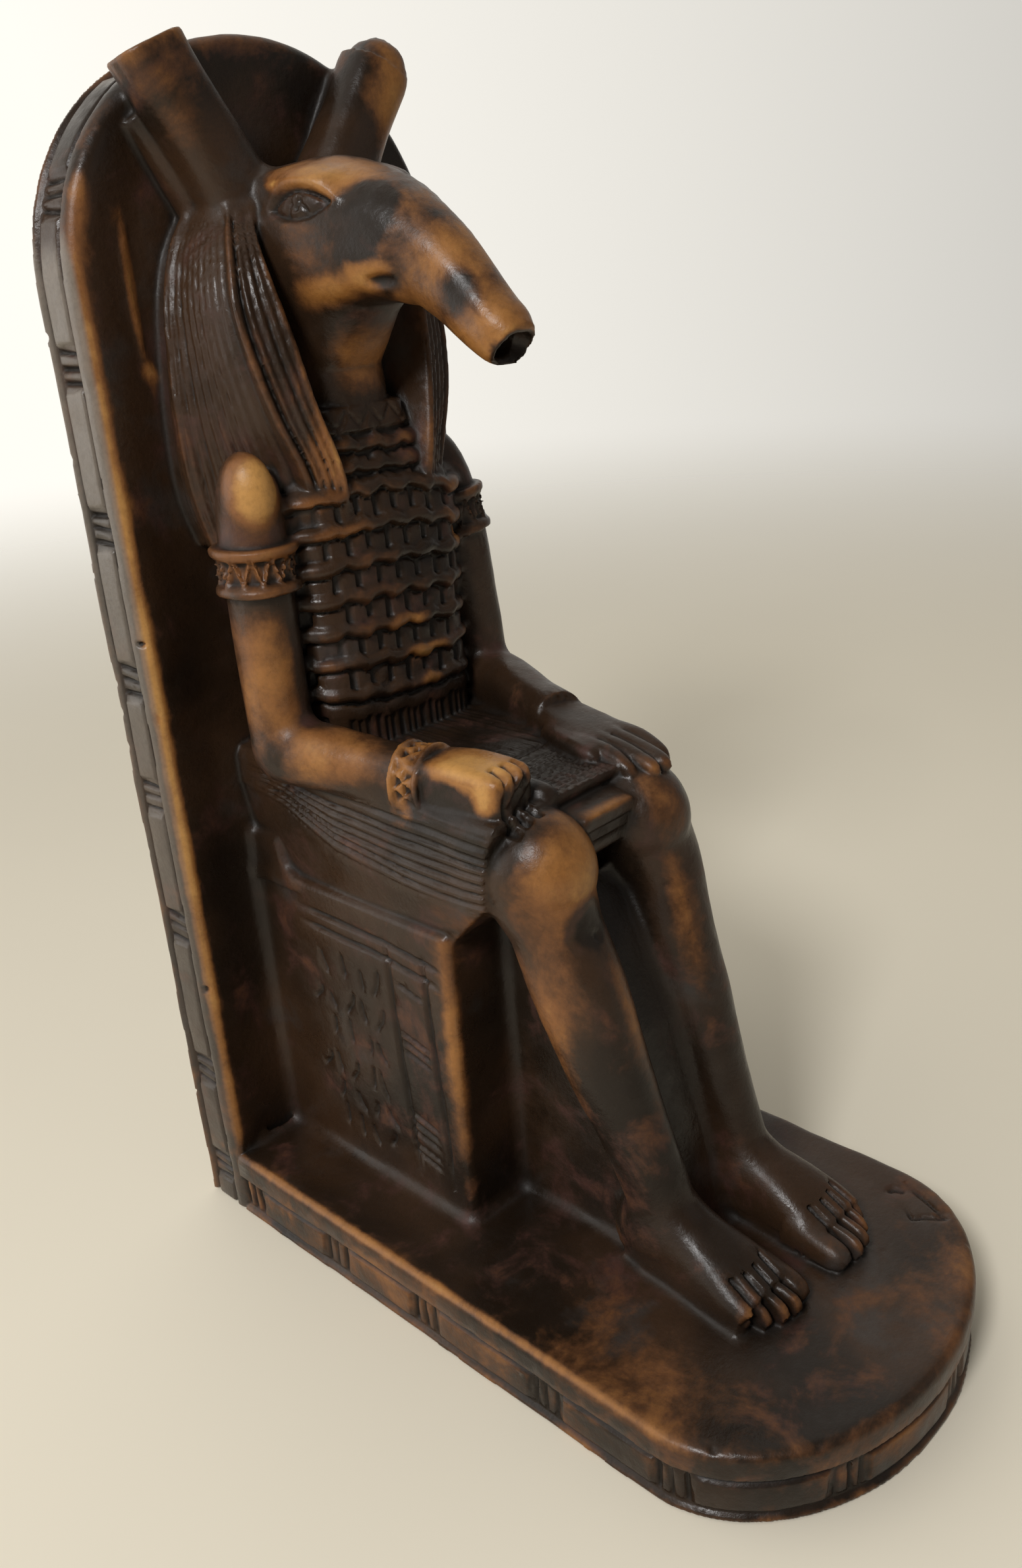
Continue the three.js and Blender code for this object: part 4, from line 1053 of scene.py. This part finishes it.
def paint_wear_and_shade(statue, block):
    """Stores on each point how exposed it is, how far handling has rubbed it, and where painted shade darkens
    it.
    """
    mesh = statue.data
    points = np.empty(3 * len(mesh.vertices), dtype=np.float32)
    mesh.vertices.foreach_get("co", points)
    points = points.reshape(-1, 3) / MM
    stone = np.clip(0.5 - block.field / block.step, 0, 1)
    near, far = (max(round(reach / block.step), 1) for reach in (0.9, 4.0))
    small = box_blur(box_blur(stone, near), near)
    large = box_blur(stone, far)
    # Both fall below zero in cuts and recesses, where the material paints shade
    edge = 0.5 - sample(small, block.axes, block.step, points)
    broad = 0.5 - sample(large, block.axes, block.step, points)

    def spots(table):
        most = np.zeros(len(points), dtype=np.float32)
        for (x, f, u), radii, strength in table:
            k = np.sqrt((((points - place(x, f, u)) / np.array(radii)) ** 2).sum(axis=1))
            most = np.maximum(most, strength * np.clip(1.35 - k, 0, 1))
        return most

    # The dark spots take amber away: dark patches, and painted shade in the snout's broken tip, at the
    # mouth's corner and between the shins
    amber = spots(AMBER_SPOTS) - spots(DARK_AND_SHADE_SPOTS)
    for name, values in (("edge", edge), ("broad", broad), ("amber", amber)):
        layer = mesh.attributes.new(name, "FLOAT", "POINT")
        layer.data.foreach_set("value", values.astype(np.float32))


# Finish
class Nodes:
    """Short calls for adding and linking shader nodes."""

    def __init__(self, name):
        self.material = bpy.data.materials.new(name)
        self.material.use_nodes = True
        self.tree = self.material.node_tree
        self.tree.nodes.clear()

    def feed(self, socket, value):
        if isinstance(value, bpy.types.NodeSocket):
            self.tree.links.new(value, socket)
        else:
            socket.default_value = value

    def math(self, operation, a, b=0.0):
        node = self.tree.nodes.new("ShaderNodeMath")
        node.operation = operation
        self.feed(node.inputs[0], a)
        self.feed(node.inputs[1], b)
        return node.outputs[0]

    def times(self, a, b):
        return self.math("MULTIPLY", a, b)

    def plus(self, a, b):
        return self.math("ADD", a, b)

    def ramp(self, value, low, high, start=0.0, end=1.0):
        node = self.tree.nodes.new("ShaderNodeMapRange")
        node.interpolation_type = "SMOOTHSTEP"
        for socket, given in zip(node.inputs[:5], (value, low, high, start, end)):
            self.feed(socket, given)
        return node.outputs[0]

    def mix(self, share, a, b):
        node = self.tree.nodes.new("ShaderNodeMix")
        node.data_type = "RGBA"
        self.feed(node.inputs[0], share)
        self.feed(node.inputs[6], a)
        self.feed(node.inputs[7], b)
        return node.outputs[2]

    def noise(self, where, scale, detail=4.0, roughness=0.55, distortion=0.0):
        node = self.tree.nodes.new("ShaderNodeTexNoise")
        self.feed(node.inputs["Vector"], where)
        node.inputs["Scale"].default_value = scale
        node.inputs["Detail"].default_value = detail
        node.inputs["Roughness"].default_value = roughness
        node.inputs["Distortion"].default_value = distortion
        return node.outputs[0]

    def attribute(self, name):
        node = self.tree.nodes.new("ShaderNodeAttribute")
        node.attribute_name = name
        return node.outputs["Fac"]

    def object_place(self):
        return self.tree.nodes.new("ShaderNodeTexCoord").outputs["Object"]

    def split(self, vector):
        node = self.tree.nodes.new("ShaderNodeSeparateXYZ")
        self.feed(node.inputs[0], vector)
        return node.outputs

    def finish(self, surface):
        """Shows the given shader, and returns the material."""
        out = self.tree.nodes.new("ShaderNodeOutputMaterial")
        self.feed(out.inputs["Surface"], surface)
        return self.material


def aged_stone(colours):
    """Dark waxed patina, rubbed through to amber on what stands out, with painted shade in the cuts and
    recesses and a painted sheen on the slab's outer sides.
    """
    n = Nodes("aged_stone")
    where = n.object_place()
    edge, broad, amber = (n.attribute(name) for name in ("edge", "broad", "amber"))
    blotch = n.noise(where, 75, 6, 0.62, 0.4)
    flake = n.noise(where, 260, 5, 0.65, 0.2)
    cloud = n.noise(where, 24, 3, 0.5, 0.3)
    grain = n.noise(where, 1000, 3, 0.6)
    # The share of wear and of painted shade, from the painted spots, the sharp edges, the broad shape and the
    # noise that breaks them up: high where handling has rubbed the coat off, low in cuts and recesses, where
    # it paints shade
    wear_and_shade = n.plus(amber, n.times(edge, 0.7))
    wear_and_shade = n.plus(wear_and_shade, n.times(broad, 0.5))
    wear_and_shade = n.plus(wear_and_shade, n.times(n.math("SUBTRACT", blotch, 0.5), 1.1))
    wear_and_shade = n.plus(wear_and_shade, n.times(n.math("SUBTRACT", flake, 0.5), 0.35))
    base = n.mix(n.ramp(cloud, 0.35, 0.65), colours.soot_and_shade, colours.dark)
    base = n.mix(n.ramp(blotch, 0.5, 0.72), base, colours.plum)
    grey = n.times(n.ramp(n.noise(where, 48, 4, 0.6), 0.56, 0.72), 0.5)
    base = n.mix(grey, base, colours.slate)
    base = n.mix(n.ramp(wear_and_shade, 0.08, 0.42), base, colours.russet)
    # Where the share is lowest the soot colour is laid on: painted shade in recesses and holes, and the
    # blackest patina in the dark spots
    base = n.mix(n.ramp(wear_and_shade, -0.55, -0.15), colours.soot_and_shade, base)
    rubbed = n.mix(n.ramp(cloud, 0.45, 0.62), colours.amber, colours.copper)
    colour = n.mix(n.ramp(wear_and_shade, 0.26, 0.66), base, rubbed)
    colour = n.mix(n.ramp(wear_and_shade, 0.6, 1.15), colour, colours.honey)
    # Painted sheen on the slab's outer sides, and dust on the right ear's broken top
    colour = n.mix(dust_and_sheen_share(n, where, edge, flake), colour, colours.dust_and_sheen)
    # Painted shade in the cuts and hollows, where the surface curves in
    hollow = n.ramp(edge, -0.03, -0.17)
    colour = n.mix(n.times(hollow, 0.9), colour, colours.hollow)
    # Dark specks of the fine grain, in the same dark colour
    colour = n.mix(n.ramp(grain, 0.35, 0.9, 0.0, 0.25), colour, colours.hollow)
    shader = n.tree.nodes.new("ShaderNodeBsdfPrincipled")
    n.feed(shader.inputs["Base Color"], colour)
    # The wax shines in patches, and is dull in the cuts
    gloss = n.plus(n.times(blotch, 0.6), n.times(flake, 0.4))
    n.feed(shader.inputs["Roughness"], n.plus(n.ramp(gloss, 0.36, 0.62, 0.26, 0.46), n.times(hollow, 0.2)))
    shader.inputs["Specular IOR Level"].default_value = 0.3
    bump = n.tree.nodes.new("ShaderNodeBump")
    bump.inputs["Strength"].default_value = 0.4
    bump.inputs["Distance"].default_value = 0.0004
    n.feed(bump.inputs["Height"], n.plus(n.times(n.noise(where, 420, 5, 0.65), 0.6), n.times(grain, 0.4)))
    n.feed(shader.inputs["Normal"], bump.outputs[0])
    return n.finish(shader.outputs[0])


def dust_and_sheen_share(n, where, edge, flake):
    """How much pale colour lies on a place: a painted sheen on the slab's outer sides, stronger towards the
    top, and dry dust on the right ear's broken top.
    """
    x, y, z = n.split(where)
    half_width, slab_face = CAD_BOX[1][0], SLAB_FACE * MM
    # The slab's outer sides get a painted sheen, on what stands out and stronger towards the top
    side = n.ramp(n.math("ABSOLUTE", x), half_width - 0.0014, half_width - 0.0004)
    side = n.times(side, n.ramp(y, slab_face - 0.004, slab_face + 0.001))
    side = n.times(side, n.ramp(n.plus(edge, n.times(flake, 0.3)), 0.0, 0.14))
    side = n.times(side, n.ramp(z, 0.02, 0.22, 0.25, 0.85))
    upward = n.split(n.tree.nodes.new("ShaderNodeNewGeometry").outputs["Normal"])[2]
    broken = n.times(n.ramp(upward, 0.78, 0.88), n.ramp(z, 0.238, 0.241))
    broken = n.times(broken, n.ramp(x, -0.020, -0.022))
    return n.math("MAXIMUM", side, n.times(broken, 0.5))


def pale_surface(colour, clear_from, clear_at):
    """A plain floor that fades into the surround between two distances from the middle."""
    n = Nodes("pale_surface")
    where = n.object_place()
    tone = n.ramp(n.noise(where, 6, 4), 0.3, 0.7, 0.97, 1.0)
    shader = n.tree.nodes.new("ShaderNodeBsdfPrincipled")
    n.feed(shader.inputs["Base Color"], n.mix(tone, (0.4, 0.38, 0.35, 1), colour))
    shader.inputs["Roughness"].default_value = 0.7
    shader.inputs["Specular IOR Level"].default_value = 0.2
    distance = n.tree.nodes.new("ShaderNodeVectorMath")
    distance.operation = "LENGTH"
    n.feed(distance.inputs[0], where)
    fade = n.tree.nodes.new("ShaderNodeMixShader")
    n.feed(fade.inputs[0], n.ramp(distance.outputs["Value"], clear_from, clear_at))
    n.feed(fade.inputs[1], shader.outputs[0])
    n.feed(fade.inputs[2], n.tree.nodes.new("ShaderNodeBsdfTransparent").outputs[0])
    return n.finish(fade.outputs[0])


# Stage
def lay_floor(settings):
    """A round floor just under the plinth."""
    reach, count, below = 1.7, 128, 0.0002
    turns = [2 * math.pi * i / count for i in range(count)]
    mesh = bpy.data.meshes.new("pale_floor")
    mesh.from_pydata([(reach * math.cos(t), reach * math.sin(t), 0) for t in turns], [], [range(count)])
    floor = bpy.data.objects.new("pale_floor", mesh)
    mesh.materials.append(pale_surface(settings.surface, 0.2 * reach, 0.8 * reach))
    bpy.context.scene.collection.objects.link(floor)
    floor.location.z = -below


def light_surround(settings):
    """Light from all round, brightest behind the statue."""
    world = bpy.data.worlds.new("soft_surround")
    bpy.context.scene.world = world
    world.use_nodes = True
    nodes, links = world.node_tree.nodes, world.node_tree.links
    background = nodes["Background"]
    background.inputs["Color"].default_value = settings.surround
    towards = nodes.new("ShaderNodeVectorMath")
    towards.operation = "DOT_PRODUCT"
    towards.inputs[1].default_value = (-0.2, 0.98, 0)
    spread = nodes.new("ShaderNodeMapRange")
    for socket, value in zip(spread.inputs[1:5], (-0.5, 0.75, settings.dim_side, settings.bright_side)):
        socket.default_value = value
    links.new(nodes.new("ShaderNodeTexCoord").outputs["Generated"], towards.inputs[0])
    links.new(towards.outputs["Value"], spread.inputs[0])
    links.new(spread.outputs[0], background.inputs["Strength"])


def hang_lamps(settings):
    """The main lamp is high on the left, a weak one fills in from the front, and one stands behind."""
    middle = Vector((0, 0, 0.12))
    for name, spot, size, watts in (
        ("key_lamp", (-0.60, -0.18, 0.66), 0.20, settings.key_power),
        ("fill_lamp", (0.35, -0.60, 0.35), 0.60, settings.fill_power),
        ("rim_lamp", (-0.75, 0.75, 0.30), 0.90, settings.rim_power),
    ):
        lamp = bpy.data.lights.new(name, "AREA")
        lamp.shape, lamp.size, lamp.energy = "DISK", size, watts
        holder = bpy.data.objects.new(name, lamp)
        holder.location = spot
        holder.rotation_euler = (middle - Vector(spot)).to_track_quat("-Z", "Y").to_euler()
        holder.visible_camera = False
        bpy.context.scene.collection.objects.link(holder)


def set_viewpoint(scene):
    """The camera stands close to the statue, off its right front corner, a little below its top."""
    spot = (-0.17609, -0.16044, 0.21084)
    heading, tilt, roll = -45.167, 67.511, -4.570
    lens = bpy.data.cameras.new("viewpoint")
    lens.sensor_width = 36
    lens.lens = 30.327
    lens.clip_start = 0.01
    camera = bpy.data.objects.new("viewpoint", lens)
    turned = Matrix.Identity(4)
    for angle, axis in ((heading, "Z"), (tilt, "X"), (roll, "Z")):
        turned = turned @ Matrix.Rotation(math.radians(angle), 4, axis)
    camera.matrix_world = Matrix.Translation(spot) @ turned
    scene.collection.objects.link(camera)
    scene.camera = camera


# Settings
def length(name, description, default):
    return FloatProperty(
        name=name, description=description, default=default, min=0.0001, unit="LENGTH", precision=4
    )


def strength(name, description, default):
    return FloatProperty(name=name, description=description, default=default, min=0)


def power(name, description, default):
    return FloatProperty(name=name, description=description, default=default, min=0, unit="POWER")


def colour(name, description, default):
    return FloatVectorProperty(
        name=name, description=description, default=(*default, 1.0), size=4, min=0, max=1, subtype="COLOR"
    )


class StatueSizes(bpy.types.PropertyGroup):
    """Sizes of the carved block. Its width, depth and height come from the frame."""

    grain: length("Grain", "Spacing of the grid that the statue is carved in", 0.0005)
    nose_depth: length("Nose depth", "Depth of the plinth's rounded front", 0.033)
    arch_rise: length("Arch rise", "Height of the slab's rounded top", 0.0415)
    throne_width: length("Throne width", "Width of the throne", 0.052)
    throne_depth: length("Throne depth", "Depth of the throne in front of the slab", 0.0595)
    throne_height: length("Throne height", "Height of the throne above the plinth", 0.069)
    chips: IntProperty(name="Chips", description="Number of small breaks on the edges", default=48, min=0)
    seed: IntProperty(name="Seed", description="Start of the random draws", default=11)
    triangles: IntProperty(
        name="Triangles", description="Most triangles of the carved mesh", default=190000, min=20000
    )


class StatueColours(bpy.types.PropertyGroup):
    """Colours of the waxed patina and of the amber under it, with the painted shade and the painted sheen
    that share some of them.
    """

    # Soot is the blackened patina, and also the painted shade in recesses and in the snout's broken tip
    soot_and_shade: colour("Soot", "Blackened patina", (0.012, 0.007, 0.004))
    dark: colour("Dark", "Dark brown patina", (0.040, 0.020, 0.010))
    plum: colour("Plum", "Purple-brown patina", (0.056, 0.024, 0.018))
    slate: colour("Slate", "Grey patches in the patina", (0.040, 0.038, 0.036))
    russet: colour("Russet", "Half-worn patina", (0.100, 0.040, 0.014))
    amber: colour("Amber", "Worn places", (0.270, 0.115, 0.030))
    honey: colour("Honey", "Most worn places", (0.440, 0.225, 0.065))
    copper: colour("Copper", "Redder worn places", (0.190, 0.076, 0.024))
    # This colour paints shade in the cuts, and marks the dark specks of the grain
    hollow: colour("Hollow", "Dirt in the cuts", (0.009, 0.006, 0.004))
    # This colour is a painted sheen on the slab's outer sides, and dust on the right ear's broken top
    dust_and_sheen: colour("Dust", "Dry dust on the sides of the slab", (0.170, 0.145, 0.120))


class StageSettings(bpy.types.PropertyGroup):
    """The pale surface and the soft light."""

    surface: colour("Surface", "Colour of the surface it stands on", (0.74, 0.68, 0.56))
    surround: colour("Surround", "Colour of the light from all round", (0.98, 0.95, 0.88))
    bright_side: strength("Bright side", "Strength of the surround behind the statue", 1.05)
    dim_side: strength("Dim side", "Strength of the surround in front", 0.16)
    key_power: power("Key power", "Power of the main lamp", 4.6)
    fill_power: power("Fill power", "Power of the fill lamp", 0.12)
    rim_power: power("Rim power", "Power of the lamp behind on the left", 2.0)


# Operators
class STATUE_OT_carve(bpy.types.Operator):
    """Carve the statue with its throne, slab and plinth as one piece"""

    bl_idname = "statue.carve"
    bl_label = "Carve Statue"

    def execute(self, context):
        settings = context.scene.statue_sizes
        block = carve_statue(settings)
        statue = build_statue_mesh(block, settings)
        paint_wear_and_shade(statue, block)
        statue.data.materials.clear()
        statue.data.materials.append(aged_stone(context.scene.statue_colours))
        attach(statue, "root")
        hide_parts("statue")
        return {"FINISHED"}


class STATUE_OT_stage(bpy.types.Operator):
    """Set up the surface, the lamps and the camera"""

    bl_idname = "statue.stage"
    bl_label = "Set Up Stage"

    def execute(self, context):
        settings = context.scene.statue_stage
        lay_floor(settings)
        light_surround(settings)
        hang_lamps(settings)
        context.scene.view_settings.view_transform = "Standard"
        set_viewpoint(context.scene)
        return {"FINISHED"}


class STATUE_PT_panel(bpy.types.Panel):
    """Sizes, colours and the steps that build the statue"""

    bl_label = "Seated God Statue"
    bl_idname = "STATUE_PT_panel"
    bl_space_type = "VIEW_3D"
    bl_region_type = "UI"
    bl_category = "Statue"

    def draw(self, context):
        layout = self.layout
        for group in (context.scene.statue_sizes, context.scene.statue_colours, context.scene.statue_stage):
            box = layout.box()
            for name in type(group).__annotations__:
                box.prop(group, name)
        layout.operator(STATUE_OT_carve.bl_idname)
        layout.operator(STATUE_OT_stage.bl_idname)


CLASSES = (StatueSizes, StatueColours, StageSettings, STATUE_OT_carve, STATUE_OT_stage, STATUE_PT_panel)


def register():
    for cls in CLASSES:
        bpy.utils.register_class(cls)
    bpy.types.Scene.statue_sizes = PointerProperty(type=StatueSizes)
    bpy.types.Scene.statue_colours = PointerProperty(type=StatueColours)
    bpy.types.Scene.statue_stage = PointerProperty(type=StageSettings)


def unregister():
    del bpy.types.Scene.statue_stage
    del bpy.types.Scene.statue_colours
    del bpy.types.Scene.statue_sizes
    for cls in reversed(CLASSES):
        bpy.utils.unregister_class(cls)


def main():
    register()
    bpy.ops.statue.carve()
    bpy.ops.statue.stage()


if __name__ == "__main__":
    main()
